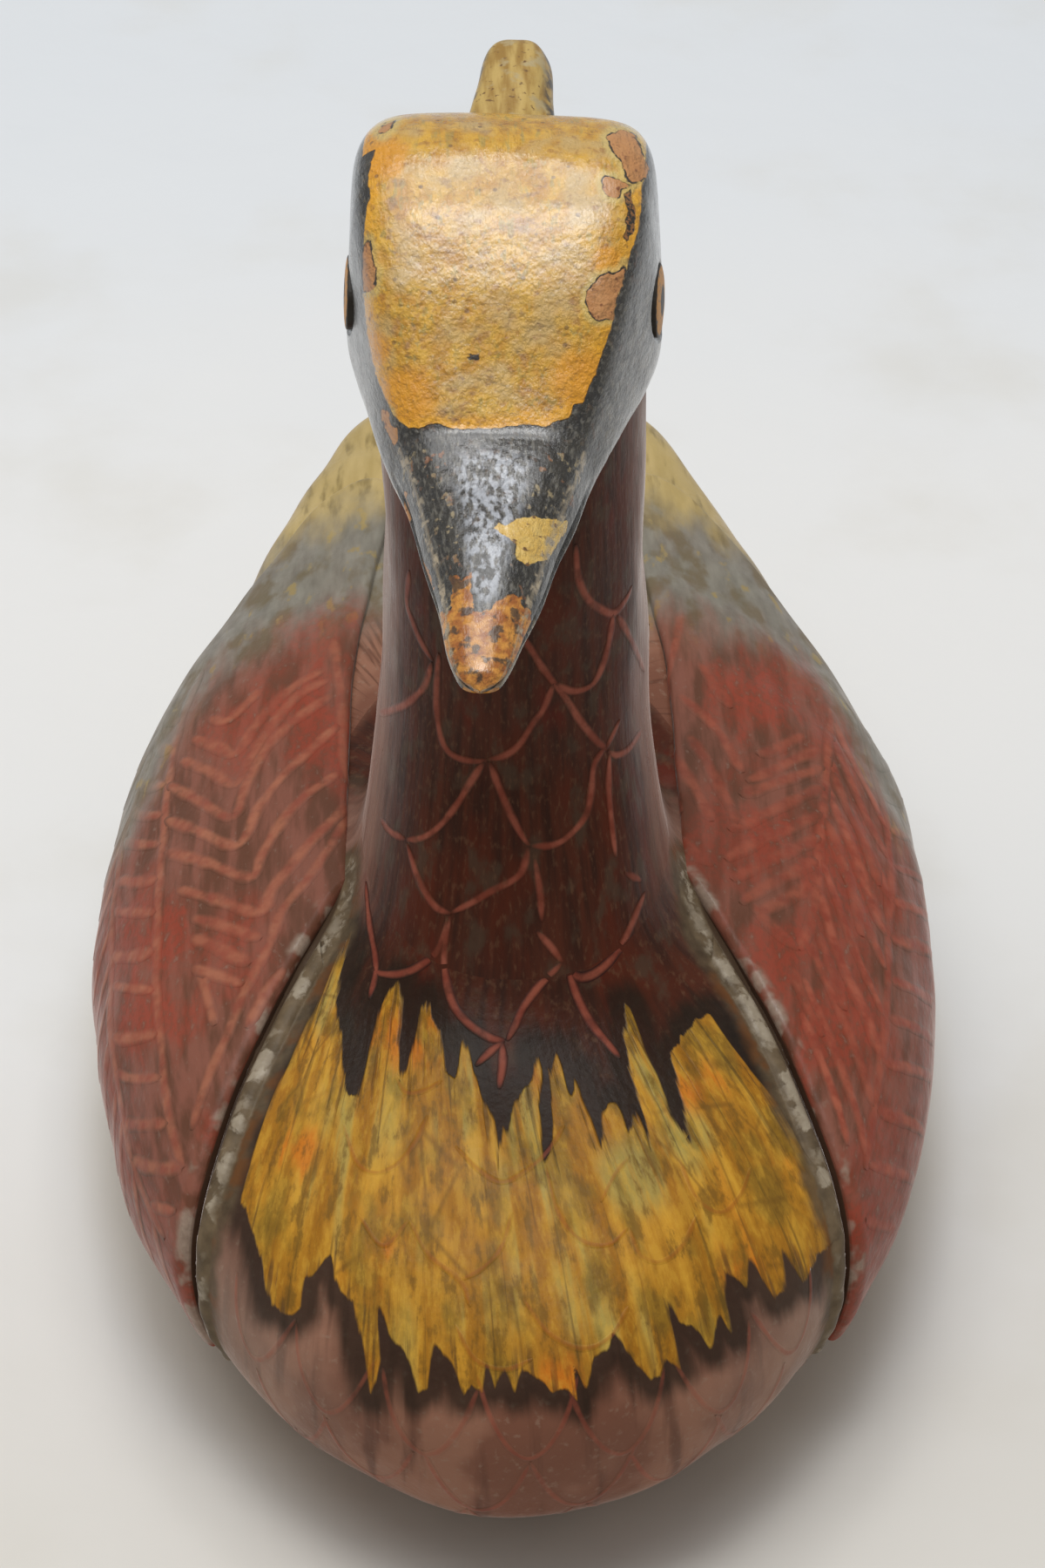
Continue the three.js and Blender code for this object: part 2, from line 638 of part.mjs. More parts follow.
// Wing plate, the pocket that takes it, the bead ahead of its leading edge, and its pegs
function wingSet(side) {
  const rows = easedPlaces(WING_ROWS);
  const columns = easedPlaces(WING_COLUMNS);
  const grid = (at) => rows.map((along) => columns.map((down) => mirrored(at(along, down), side)));
  const seatDepth = WING_THICKNESS - WING_PROUD;

  const outer = grid((along, down) => {
    const { fromBreast, angle } = wingPlace(along, down);
    const length = WING_TIP_FROM_BREAST - wingPlace(0, down).fromBreast;
    const upper = wingPlace(along, 0);
    const lower = wingPlace(along, 1);
    const girth = skin(upper.fromBreast, upper.angle).distanceTo(skin(lower.fromBreast, lower.angle));
    const toEdge = Math.min(along * length, (1 - along) * length, down * girth, (1 - down) * girth);
    const slope = 1 - Math.min(1, toEdge / WING_EDGE);
    const rounding = Math.sqrt(1 - slope ** 2);
    return overSkin(fromBreast, angle, WING_EDGE_PROUD + (WING_PROUD - WING_EDGE_PROUD) * rounding);
  });
  const inner = grid((along, down) => {
    const { fromBreast, angle } = wingPlace(along, down);
    return overSkin(fromBreast, angle, -seatDepth);
  });

  const pocketPlace = (along, down) => {
    const place = wingPlace(along, down);
    const shifts = [];
    if (along === 0) shifts.push(beyondEdge(along, down, WING_GROOVE, true));
    if (along === 1) shifts.push(beyondEdge(along, down, CLEARANCE, true));
    if (down === 0 || down === 1) shifts.push(beyondEdge(along, down, CLEARANCE, false));
    return shifts.reduce((sum, shift) => ({
      fromBreast: sum.fromBreast + shift.fromBreast - place.fromBreast,
      angle: sum.angle + shift.angle - place.angle,
    }), place);
  };
  const pocketGrid = (lift) => grid((along, down) => {
    const { fromBreast, angle } = pocketPlace(along, down);
    return overSkin(fromBreast, angle, lift);
  });

  const beadRadius = SHOULDER_BEAD / 2;
  const bead = evenPlaces(BEAD_RINGS).map((share) => {
    const down = THREE.MathUtils.lerp(BEAD_END_SHARE, 1 - BEAD_END_SHARE, share);
    const { fromBreast, angle } = beyondEdge(0, down, WING_GROOVE + beadRadius, true);
    const next = beyondEdge(0, down + BEAD_END_SHARE, WING_GROOVE + beadRadius, true);
    const centre = overSkin(fromBreast, angle, SHOULDER_BEAD_PROUD - beadRadius);
    const outward = skinNormal(fromBreast, angle);
    const onward = overSkin(next.fromBreast, next.angle, SHOULDER_BEAD_PROUD - beadRadius).sub(centre);
    const across = onward.cross(outward).normalize();
    return turns(BEAD_SIDES).map((turn) => mirrored(
      centre.clone()
        .addScaledVector(outward, beadRadius * Math.sin(turn))
        .addScaledVector(across, beadRadius * Math.cos(turn)),
      side,
    ));
  });

  const pegs = {};
  for (const [name, along] of Object.entries(WING_PEG_PLACES)) {
    const { fromBreast, angle } = wingPlace(along, 0.5);
    const top = WING_PROUD - WING_PEG_COVER;
    pegs[name] = {
      radius: WING_PEG_DIAMETER / 2,
      outer: mirrored(overSkin(fromBreast, angle, top), side),
      inner: mirrored(overSkin(fromBreast, angle, top - WING_PEG_LENGTH), side),
    };
  }
  return {
    plate: plate(outer, inner),
    pocket: plate(pocketGrid(CUT_RUNOUT), pocketGrid(-seatDepth - CLEARANCE)),
    bead: loft(bead),
    pegs,
  };
}

function pegHole({ radius, inner, outer }) {
  const reach = outer.clone().sub(inner).normalize().multiplyScalar(CLEARANCE);
  return bar(radius + CLEARANCE, inner.clone().sub(reach), outer.clone().add(reach));
}

function addWings() {
  for (const [side, wing] of Object.entries(wings)) {
    let plateSolid = solid(wing.plate);
    for (const [name, peg] of Object.entries(wing.pegs)) {
      plateSolid = plateSolid.subtract(solid(pegHole(peg)));
      place(duck, `${side}_wing_${name}_peg`, bar(peg.radius, peg.inner, peg.outer), WOOD.peg);
    }
    place(duck, `${side}_wing`, fromSolid(plateSolid), WOOD.wing);
  }
}
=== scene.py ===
import math

import bpy
import numpy as np
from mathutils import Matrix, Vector
from mathutils.bvhtree import BVHTree


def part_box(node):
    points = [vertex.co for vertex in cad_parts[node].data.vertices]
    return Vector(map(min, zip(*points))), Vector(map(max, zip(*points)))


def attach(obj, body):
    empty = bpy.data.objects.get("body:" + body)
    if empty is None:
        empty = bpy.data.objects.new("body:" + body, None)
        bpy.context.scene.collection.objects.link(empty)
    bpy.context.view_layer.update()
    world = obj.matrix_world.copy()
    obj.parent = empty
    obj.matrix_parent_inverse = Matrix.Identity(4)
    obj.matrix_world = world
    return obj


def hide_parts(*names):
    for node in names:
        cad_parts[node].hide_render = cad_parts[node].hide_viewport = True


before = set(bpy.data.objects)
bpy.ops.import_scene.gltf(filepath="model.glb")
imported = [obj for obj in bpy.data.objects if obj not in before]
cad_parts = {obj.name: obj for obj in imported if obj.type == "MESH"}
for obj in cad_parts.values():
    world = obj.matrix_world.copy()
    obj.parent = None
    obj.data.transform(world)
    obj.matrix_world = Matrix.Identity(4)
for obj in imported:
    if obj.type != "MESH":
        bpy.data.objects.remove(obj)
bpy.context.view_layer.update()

# Looks of a carved and painted wooden duck. Forms are worked out in millimetres in the CAD's frame
# and turned into metres when a mesh is built. The duck faces -Y, so its own left side is +X.
MM = 0.001
SEED = 11
rng = np.random.default_rng(SEED)


def box_mm(node):
    low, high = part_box(node)
    return np.array(low) / MM, np.array(high) / MM


# Driving sizes taken from the frame, in millimetres
BODY_LENGTH = 2 * box_mm("body")[1][1]
NECK_JOINT_HEIGHT = box_mm("neck")[0][2]
NECK_TOP_HEIGHT = box_mm("neck")[1][2]
BACK_HEIGHT = NECK_JOINT_HEIGHT - 4

# Body block
BODY_WIDTH = 123
WIDEST_FROM_BREAST = 101
BREAST_LEVEL = 29
FLANK_LEVEL = 31
TAIL_LEVEL = 48
TAIL_THICKNESS = 6
BELLY_CUT = 2.5
BREAST_START = 0.03

# Neck
NECK_FROM_BREAST = 98
NECK_ROOT_LENGTH = 15
NECK_RUNOUT_HEIGHT = NECK_JOINT_HEIGHT - NECK_ROOT_LENGTH
NECK_WIDTHS = (60, 44, 35.4)
NECK_DEPTHS = (110, 64, 38)
NECK_LEANS = (18, 9, 0)
NECK_WAIST_PLACE = 0.35
NECK_WAIST_SWELL = 0.24
ROOT_SKIRT = 1.12

# Head with its bill
HEAD_LENGTH = 91
HEAD_WIDTH = 42.8
HEAD_HEIGHT = 29.5
BILL_DROP = 5.2
NAPE_BEHIND_AXIS = 26
HEAD_TURN = math.radians(3.5)
HEAD_SIDE_STEP = 1.2
HEAD_SEAT_CLEARANCE = 0.3
SEAT_FRONT = -19.6
MOUTH_GAPE = 0.75
MOUTH_DEPTH = 1.1
MOUTH_LENGTH = 40
MOUTH_HEIGHT = -1.6
MOUTH_LIP = 0.3
NAPE_DOME = 1.6

# Crest
CREST_LENGTH = 26
CREST_ROOT_WIDTH = 12.2
CREST_TIP_WIDTH = 9.2
CREST_THICKNESS = 8
CREST_RISE = 2
CREST_HEIGHT = 22.5
CREST_SEAT_DEPTH = 10

# Eyes
EYE_FROM_TIP = 68
EYE_LEVEL = 9.5
EYE_LENGTH = 11
EYE_HEIGHT = 9.4
EYE_DOME = 0.5
EYE_STEM = 1.2
EYE_GROOVE = 0.7
EYE_PROBE = (-0.5, 0.5)
EYE_DEPTH = 6

# Wings and their edges
WING_SHOULDER_FROM_BREAST = 85
WING_CORNER_FROM_BREAST = 32
WING_TIP_FROM_BREAST = 190
WING_TIP_ROUND = 6
WING_SHOULDER_ANGLE = math.radians(68)
WING_CORNER_ANGLE = math.radians(-19)
WING_TIP_UPPER_ANGLE = math.radians(66)
WING_TIP_LOWER_ANGLE = math.radians(42)
WING_SEAT = 2.6
WING_PROUD = 2
WING_EDGE = 2.4
WING_EDGE_PROUD = 0.8
POCKET_DEPTH = 2.9
WING_GROOVE = 0.75
GROOVE_DEPTH = 0.4
SHOULDER_BEAD = 3.4
SHOULDER_BEAD_PROUD = 0.9

# Camera: where it aims, how far off, how steeply and from which side it looks down, and its lens in
# pixels of the photograph
PHOTO_WIDTH = 1200
PHOTO_HEIGHT = 1800
CAMERA_AIM = np.array([0.84, -38.5, 88.0])
CAMERA_DISTANCE = 602
CAMERA_TILT = math.radians(40)
CAMERA_TURN = math.radians(-1)
CAMERA_PIXELS = 5000
SENSOR = 36
PIXELS_PER_MM = CAMERA_PIXELS / CAMERA_DISTANCE


def curve(knots):
    """Smooth curve through [place, value] pairs that never overshoots a value."""
    places, values = np.array(knots, float).T
    runs = np.diff(places)
    slopes = np.diff(values) / runs
    tangents = np.zeros(len(places))
    tangents[0], tangents[-1] = slopes[0], slopes[-1]
    for i in range(1, len(runs)):
        if slopes[i - 1] * slopes[i] > 0:
            before = 2 * runs[i] + runs[i - 1]
            after = runs[i] + 2 * runs[i - 1]
            tangents[i] = (before + after) / (before / slopes[i - 1] + after / slopes[i])

    def value(place):
        x = np.clip(place, places[0], places[-1])
        i = np.clip(np.searchsorted(places, x, side="right") - 1, 0, len(runs) - 1)
        t = (x - places[i]) / runs[i]
        leave = runs[i] * tangents[i] * (t**3 - 2 * t**2 + t)
        arrive = runs[i] * tangents[i + 1] * (t**3 - t**2)
        return values[i] + (values[i + 1] - values[i]) * (3 * t**2 - 2 * t**3) + leave + arrive

    return value


BODY_REAR_PLAN = curve([[0, 1], [0.23, 0.962], [0.41, 0.862], [0.63, 0.7], [0.82, 0.535],
                        [0.93, 0.42], [0.98, 0.28], [1, 0.05]])
BODY_REAR_BACK = curve([[0, 1], [0.28, 0.99], [0.6, 0.72], [0.85, 0.5], [1, 0.2]])
BODY_REAR_BELLY = curve([[0, 0], [0.28, 0], [0.48, 0.1], [0.69, 0.36], [0.9, 0.78], [1, 1]])
BODY_REAR_FLANK = curve([[0, 0], [0.44, 0.12], [0.77, 0.62], [1, 1]])
HEAD_PLAN = curve([[0, 0], [0.012, 0.12], [0.04, 0.195], [0.17, 0.355], [0.36, 0.574], [0.55, 0.79],
                   [0.66, 0.915], [0.75, 0.99], [0.84, 1], [0.94, 0.955], [0.985, 0.87], [1, 0.7]])
HEAD_CROWN = curve([[0, -0.125], [0.02, -0.065], [0.07, -0.01], [0.23, 0.108], [0.38, 0.22],
                    [0.421, 0.2475], [0.429, 0.253], [0.437, 0.265], [0.45, 0.297], [0.51, 0.45],
                    [0.61, 0.72], [0.72, 0.925], [0.83, 1], [0.93, 0.93], [0.98, 0.76], [1, 0.6]])
HEAD_THROAT = curve([[0, 0.8], [0.02, 1], [0.23, 0.95], [0.42, 0.72], [0.55, 0.58], [0.9, 0.58],
                     [0.96, 0], [1, -1]])
HEAD_EXPONENT = curve([[0, 2.2], [0.25, 2.5], [0.45, 3.8], [0.65, 6], [1, 6]])
HEAD_NARROWING = curve([[0, 0.2], [0.2, 0.36], [0.42, 0.22], [0.7, 0.09], [1, 0.08]])
BREAST_PLAN_EXPONENT = 2
BREAST_OVER_EXPONENT = 2.3
BREAST_UNDER_EXPONENT = 2.8
BODY_EXPONENT = 2.1
NECK_EXPONENT = 2.2
CREST_EXPONENT = 2.4
CREST_END_EXPONENT = 10
WING_LEAD_EXPONENT = 3


def smooth(value, low, high):
    """0 below low, 1 above high and an ease between them."""
    t = np.clip((value - low) / (high - low), 0, 1)
    return t * t * (3 - 2 * t)


def lerp(start, end, share):
    return start + (end - start) * share


def unit(vectors):
    return vectors / np.maximum(np.linalg.norm(vectors, axis=-1, keepdims=True), 1e-9)


def rounded(angle, exponent):
    """Point of a unit rounded square: exponent 2 is a circle, larger is squarer."""
    across, up = np.cos(angle), np.sin(angle)
    power = 2 / exponent
    return np.sign(across) * np.abs(across) ** power, np.sign(up) * np.abs(up) ** power


# Slow waves that a spokeshave leaves in a surface
WAVE_COUNT = 14
WAVE_LENGTHS = (14, 55)
WAVE_HEIGHT = 0.09
wave_turns = unit(rng.normal(size=(WAVE_COUNT, 3)))
wave_numbers = wave_turns * (2 * math.pi / rng.uniform(*WAVE_LENGTHS, (WAVE_COUNT, 1)))
wave_phases = rng.uniform(0, 2 * math.pi, WAVE_COUNT)


def waver(points):
    """How far hand carving stands off the true form at each point."""
    return WAVE_HEIGHT * np.sin(points @ wave_numbers.T + wave_phases).sum(-1)


def body_section(from_breast):
    """Half-width, back, belly and flank heights at a distance behind the breast's front."""
    ahead = np.clip(1 - from_breast / WIDEST_FROM_BREAST, 0, 1)
    behind = np.clip((from_breast - WIDEST_FROM_BREAST) / (BODY_LENGTH - WIDEST_FROM_BREAST), 0, 1)
    front = from_breast < WIDEST_FROM_BREAST

    def swell(exponent):
        return (1 - ahead**exponent) ** (1 / exponent)

    tail_top = TAIL_LEVEL + TAIL_THICKNESS / 2
    tail_under = TAIL_LEVEL - TAIL_THICKNESS / 2
    half = BODY_WIDTH / 2 * np.where(front, swell(BREAST_PLAN_EXPONENT), BODY_REAR_PLAN(behind))
    back = np.where(front, lerp(BREAST_LEVEL, BACK_HEIGHT, swell(BREAST_OVER_EXPONENT)),
                    lerp(tail_top, BACK_HEIGHT, BODY_REAR_BACK(behind)))
    belly = np.where(front, lerp(BREAST_LEVEL, -BELLY_CUT, swell(BREAST_UNDER_EXPONENT)),
                     lerp(-BELLY_CUT, tail_under, BODY_REAR_BELLY(behind)))
    flank = np.where(front, lerp(FLANK_LEVEL, BREAST_LEVEL, ahead),
                     lerp(FLANK_LEVEL, TAIL_LEVEL, BODY_REAR_FLANK(behind)))
    return half, back, belly, flank


def skin(from_breast, angle):
    """Point on the body's skin: the angle is 0 at the left flank and a right angle at the back."""
    half, back, belly, flank = body_section(from_breast)
    across, up = rounded(angle, BODY_EXPONENT)
    rise = np.where(up > 0, back - flank, flank - belly)
    y = from_breast - BODY_LENGTH / 2
    return np.stack(np.broadcast_arrays(half * across, y, flank + rise * up), -1)


def skin_normal(from_breast, angle):
    along = skin(from_breast + 0.5, angle) - skin(np.maximum(from_breast - 0.5, 0), angle)
    around = skin(from_breast, angle + 0.01) - skin(from_breast, angle - 0.01)
    return unit(np.cross(along, around))


def over_skin(from_breast, angle, lift):
    return skin(from_breast, angle) + skin_normal(from_breast, angle) * np.asarray(lift)[..., None]


def wing_place(along, down):
    """Distance from the breast and angle of a place on the wing, from its edges at 0 and 1."""
    lead = lerp(WING_CORNER_FROM_BREAST, WING_SHOULDER_FROM_BREAST,
                (1 - down) ** WING_LEAD_EXPONENT)
    end = WING_TIP_FROM_BREAST - WING_TIP_ROUND * (2 * down - 1) ** 2
    upper = lerp(WING_SHOULDER_ANGLE, WING_TIP_UPPER_ANGLE, along)
    lower = lerp(WING_CORNER_ANGLE, WING_TIP_LOWER_ANGLE, along**2)
    return lerp(lead, end, along), lerp(upper, lower, down)


# Rounds of search for a wing's own shares
SHARE_ROUNDS = 40


def wing_share(from_breast, angle):
    """The wing's own two shares, along and down, at a place on the body."""
    along = np.full(np.broadcast(from_breast, angle).shape, 0.5)
    down = along.copy()
    for _ in range(SHARE_ROUNDS):
        lead, _ = wing_place(0, np.clip(down, -0.1, 1.1))
        end, _ = wing_place(1, np.clip(down, 0, 1))
        along += 0.5 * (np.clip((from_breast - lead) / (end - lead), -0.5, 1.5) - along)
        _, upper = wing_place(np.clip(along, 0, 1), 0)
        _, lower = wing_place(np.clip(along, 0, 1), 1)
        down += 0.5 * (np.clip((upper - angle) / (upper - lower), -0.5, 1.5) - down)
    return along, down


# The leading edge as a line of points, and how many places are measured against it at once
LEAD_STEPS = 300
PLACES_AT_ONCE = 4000
lead_line = skin(*wing_place(0, np.linspace(0, 1, LEAD_STEPS)))


def ahead_of_lead(points, along):
    """Distance from the wings' leading edges, positive ahead of them and negative on the wing."""
    places = np.abs(points.reshape(-1, 3) * [1, 0, 0]) + points.reshape(-1, 3) * [0, 1, 1]
    least = np.concatenate([
        np.linalg.norm(part[:, None] - lead_line[None], axis=-1).min(1)
        for part in np.array_split(places, max(1, len(places) // PLACES_AT_ONCE))
    ])
    return least.reshape(along.shape) * np.where(along < 0, 1, -1)


def neck_section(height):
    """Half-width, half-depth and middle of the neck; below the joint it flares into the breast."""
    waist = lerp(NECK_JOINT_HEIGHT, NECK_TOP_HEIGHT, NECK_WAIST_PLACE)

    def between(at_runout, at_joint, at_top):
        return curve([[NECK_RUNOUT_HEIGHT, at_runout], [NECK_JOINT_HEIGHT, at_joint],
                      [waist, lerp(at_top, at_joint, NECK_WAIST_SWELL)],
                      [NECK_TOP_HEIGHT, at_top]])(height)

    middle = NECK_FROM_BREAST - BODY_LENGTH / 2 - between(*NECK_LEANS)
    return between(*NECK_WIDTHS) / 2, between(*NECK_DEPTHS) / 2, middle


def neck_point(height, angle):
    half, depth, middle = neck_section(height)
    across, along = rounded(angle, NECK_EXPONENT)
    return np.stack(np.broadcast_arrays(half * across, middle + depth * along, height), -1)


def neck_outward(height, angle):
    around = neck_point(height, angle + 0.01) - neck_point(height, angle - 0.01)
    up = neck_point(height + 0.3, angle) - neck_point(height - 0.3, angle)
    return unit(np.cross(around, up))


# Camera geometry, used for what is placed by a pixel of the photograph
def turned(vector):
    c, s = math.cos(CAMERA_TURN), math.sin(CAMERA_TURN)
    return np.array([vector[0] * c - vector[1] * s, vector[0] * s + vector[1] * c, vector[2]])


camera_axis = turned([0, math.cos(CAMERA_TILT), -math.sin(CAMERA_TILT)])
camera_up = turned([0, math.sin(CAMERA_TILT), math.cos(CAMERA_TILT)])
camera_right = turned([1, 0, 0])
camera_place = CAMERA_AIM - camera_axis * CAMERA_DISTANCE


def to_photo(points):
    """Pixels of the photograph where points of the model lie."""
    away = points - camera_place
    depth = away @ camera_axis
    x = PHOTO_WIDTH / 2 + CAMERA_PIXELS * (away @ camera_right) / depth
    y = PHOTO_HEIGHT / 2 - CAMERA_PIXELS * (away @ camera_up) / depth
    return np.stack([x, y], -1)


def from_photo(pixels, tree):
    """Points of a surface that lie at pixels of the photograph; pixels beside it are left out."""
    hits = []
    for x, y in pixels:
        ray = camera_axis + camera_right * (x - PHOTO_WIDTH / 2) / CAMERA_PIXELS
        ray = ray - camera_up * (y - PHOTO_HEIGHT / 2) / CAMERA_PIXELS
        hit = tree.ray_cast(Vector(camera_place), Vector(ray))[0]
        if hit is not None:
            hits.append(np.array(hit))
    return np.array(hits)


def outline_margin(pixels, outline):
    """Distance inside (positive) or outside an outline, in millimetres at the camera's aim."""
    corners = np.array(outline, float)
    nexts = np.roll(corners, -1, 0)
    flat = pixels.reshape(-1, 2)
    least = np.full(len(flat), 1e9)
    inside = np.zeros(len(flat), bool)
    for a, b in zip(corners, nexts):
        edge = b - a
        share = np.clip((flat - a) @ edge / (edge @ edge), 0, 1)
        least = np.minimum(least, np.linalg.norm(flat - a - share[:, None] * edge, axis=1))
        crosses = (a[1] > flat[:, 1]) != (b[1] > flat[:, 1])
        if edge[1]:
            inside ^= crosses & (flat[:, 0] < a[0] + edge[0] * (flat[:, 1] - a[1]) / edge[1])
    return (np.where(inside, least, -least) / PIXELS_PER_MM).reshape(pixels.shape[:-1])


def glow(points, spots):
    """How near points lie to spots of the photograph, each x, y and radius: 1 at its centre."""
    across, down = np.moveaxis(to_photo(points), -1, 0)
    return np.max([1 - np.hypot(across - x, down - y) / radius for x, y, radius in spots], 0)


def facing_camera(points, normals):
    return (unit(camera_place - points) * normals).sum(-1)


# Mesh building
class Carving:
    """Gathers the surfaces of one piece, with what its paint needs to know at each point."""

    def __init__(self):
        self.points, self.faces, self.slots, self.attributes = [], [], [], {}
        self.count = 0

    def add(self, points, faces, outward, slot=0, **attributes):
        """Adds a surface; its faces are turned the way its outward vectors point."""
        flat = points.reshape(-1, 3)
        faces = np.asarray(faces)
        a, b, c = (flat[faces[:, i]] for i in range(3))
        facing = (np.cross(b - a, c - a) * outward.reshape(-1, 3)[faces[:, 0]]).sum()
        if facing < 0:
            faces = faces[:, ::-1]
        self.points.append(flat)
        self.faces += (faces + self.count).tolist()
        self.slots += [slot] * len(faces)
        for name, values in attributes.items():
            self.attributes.setdefault(name, []).append((self.count, values.reshape(len(flat), -1)))
        self.count += len(flat)

    def tree(self):
        return BVHTree.FromPolygons(np.concatenate(self.points).tolist(), self.faces)

    def build(self, name, materials):
        mesh = bpy.data.meshes.new(name)
        mesh.from_pydata((np.concatenate(self.points) * MM).tolist(), [], self.faces)
        for material in materials:
            mesh.materials.append(material)
        mesh.polygons.foreach_set("material_index", self.slots)
        mesh.polygons.foreach_set("use_smooth", [True] * len(mesh.polygons))
        for attribute, parts in self.attributes.items():
            data = np.zeros((self.count, 3), np.float32)
            for start, values in parts:
                data[start:start + len(values), :values.shape[1]] = values
            layer = mesh.attributes.new(attribute, "FLOAT_VECTOR", "POINT")
            layer.data.foreach_set("vector", data.ravel())
        mesh.update()
        piece = bpy.data.objects.new(name, mesh)
        bpy.context.scene.collection.objects.link(piece)
        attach(piece, "root")
        return piece


def grid_faces(rows, columns, closed=False):
    """Quads of a grid of points, the last column joined to the first where it is closed."""
    steps = columns if closed else columns - 1
    r, c = np.meshgrid(np.arange(rows - 1), np.arange(steps), indexing="ij")
    here = (r * columns + c).ravel()
    beside = (r * columns + (c + 1) % columns).ravel()
    return np.stack([here, beside, beside + columns, here + columns], 1)


def fan(count):
    """Triangles from a ring of points to the one that follows them."""
    return [(i, (i + 1) % count, count) for i in range(count)]


def full_turn(count):
    return np.linspace(0, 2 * math.pi, count, endpoint=False)[None]


def hump(value, place, width):
    return np.exp(-(((value - place) / width) ** 2))


def spread(density, count):
    """Places from 0 to 1 that lie closer together where the density is high."""
    fine = np.linspace(0, 1, 2001)
    weight = density(fine)
    total = np.concatenate([[0], np.cumsum((weight[1:] + weight[:-1]) / 2)])
    return np.interp(np.linspace(0, total[-1], count), total, fine)


# Strokes of thick paint laid on a surface: the step along them, how high they rise over the
# surface, the length and range of their changes of width, how soon they fade in, how narrow they
# end, and where their points lie across
STROKE_STEP = 0.5
STROKE_RISE = 0.07
STROKE_CLEARANCE = 0.02
STROKE_WAVE = 2.2
STROKE_WAVER = (0.78, 1.15)
STROKE_FADE = 1.2
STROKE_TAPER = 0.35
STROKE_PLACES = (-1, -0.62, 0, 0.62, 1)


def smooth_track(points, step=STROKE_STEP):
    """Evenly spaced points on a smooth track through a few."""
    points = np.asarray(points, float)
    if len(points) > 2:
        ends = np.concatenate([[2 * points[0] - points[1]], points, [2 * points[-1] - points[-2]]])
        t = np.linspace(0, 1, 12, endpoint=False)[:, None]
        rows = []
        for a, b, c, d in zip(ends, ends[1:], ends[2:], ends[3:]):
            rows.append(0.5 * (2 * b + (c - a) * t + (2 * a - 5 * b + 4 * c - d) * t**2
                               + (3 * b - a - 3 * c + d) * t**3))
        points = np.concatenate(rows + [points[-1:]])
    length = np.concatenate([[0], np.cumsum(np.linalg.norm(np.diff(points, axis=0), axis=1))])
    count = max(4, int(length[-1] / step) + 1)
    return np.stack([np.interp(np.linspace(0, length[-1], count), length, points[:, i])
                     for i in range(3)], 1)


def paint_stroke(piece, tree, points, width, ground, strength, free=(True, True)):
    """A ridge of paint that follows the surface under a track, narrower at both ends. The ground
    gives what the paint under it knows, so that a starved stroke lets it through. An end that is
    not free runs on over a joint at full width."""
    track = smooth_track(points)
    count = len(track)
    hits = [tree.find_nearest(Vector(p)) for p in track]
    centre = np.array([hit[0] for hit in hits])
    normal = np.array([hit[1] for hit in hits])
    onward = unit(np.gradient(centre, axis=0))
    sideways = unit(np.cross(normal, onward))
    share = np.linspace(0, 1, count)
    length = count * STROKE_STEP
    inward = np.minimum(share if free[0] else 1.0, 1 - share if free[1] else 1.0) + 0 * share
    knots = np.arange(0, length + 4, STROKE_WAVE)
    wobble = np.interp(share * length, knots, rng.uniform(*STROKE_WAVER, len(knots)))
    ends = lerp(STROKE_TAPER, 1, np.minimum(1, inward * length / STROKE_WAVE) ** 0.6)
    half = width / 2 * wobble * ends
    rows = []
    for place in STROKE_PLACES:
        shifted = centre + sideways * (half * place)[:, None]
        snapped = [tree.find_nearest(Vector(p)) for p in shifted]
        rise = STROKE_RISE * (1 - place**2) + STROKE_CLEARANCE
        rows.append(np.array([hit[0] for hit in snapped])
                    + np.array([hit[1] for hit in snapped]) * rise)
    points = np.stack(rows, 1)
    normals = np.repeat(normal[:, None], len(STROKE_PLACES), 1)
    fade = strength * np.minimum(1, inward * length / STROKE_FADE)[:, None]
    ink = np.stack(np.broadcast_arrays(fade, rng.uniform(0, 1), np.array(STROKE_PLACES)), -1)
    piece.add(points, grid_faces(*points.shape[:2]), normals, ink=ink, **ground(points, normals))


# Outlines traced in the photograph, in its pixels
BREAST_PATCH_TOP = [
    (276, 1376), (288, 1325), (305, 1275), (330, 1225), (352, 1175), (372, 1130), (401, 1070),
    (396, 1101), (386, 1151), (392, 1198), (398, 1255), (410, 1259), (426, 1198), (437, 1151),
    (458, 1124), (461, 1150), (455, 1198), (459, 1241), (468, 1223), (483, 1166), (491, 1147),
    (496, 1169), (505, 1183), (509, 1232), (523, 1236), (535, 1189), (543, 1228), (557, 1262),
    (567, 1287), (573, 1348), (582, 1290), (596, 1252), (609, 1246), (617, 1202), (623, 1228),
    (621, 1266), (627, 1332), (633, 1300), (634, 1223), (641, 1206), (649, 1240), (654, 1258),
    (662, 1232), (669, 1259), (680, 1284), (691, 1318), (693, 1272), (705, 1264), (714, 1276),
    (722, 1312), (726, 1270), (737, 1296), (747, 1322), (736, 1266), (722, 1223), (714, 1152),
    (724, 1158), (738, 1205), (752, 1232), (770, 1280), (793, 1314), (780, 1259), (768, 1212),
    (783, 1190), (801, 1168), (816, 1165), (837, 1198), (862, 1230), (891, 1262), (909, 1294),
    (923, 1323), (945, 1351), (960, 1370), (968, 1394)]
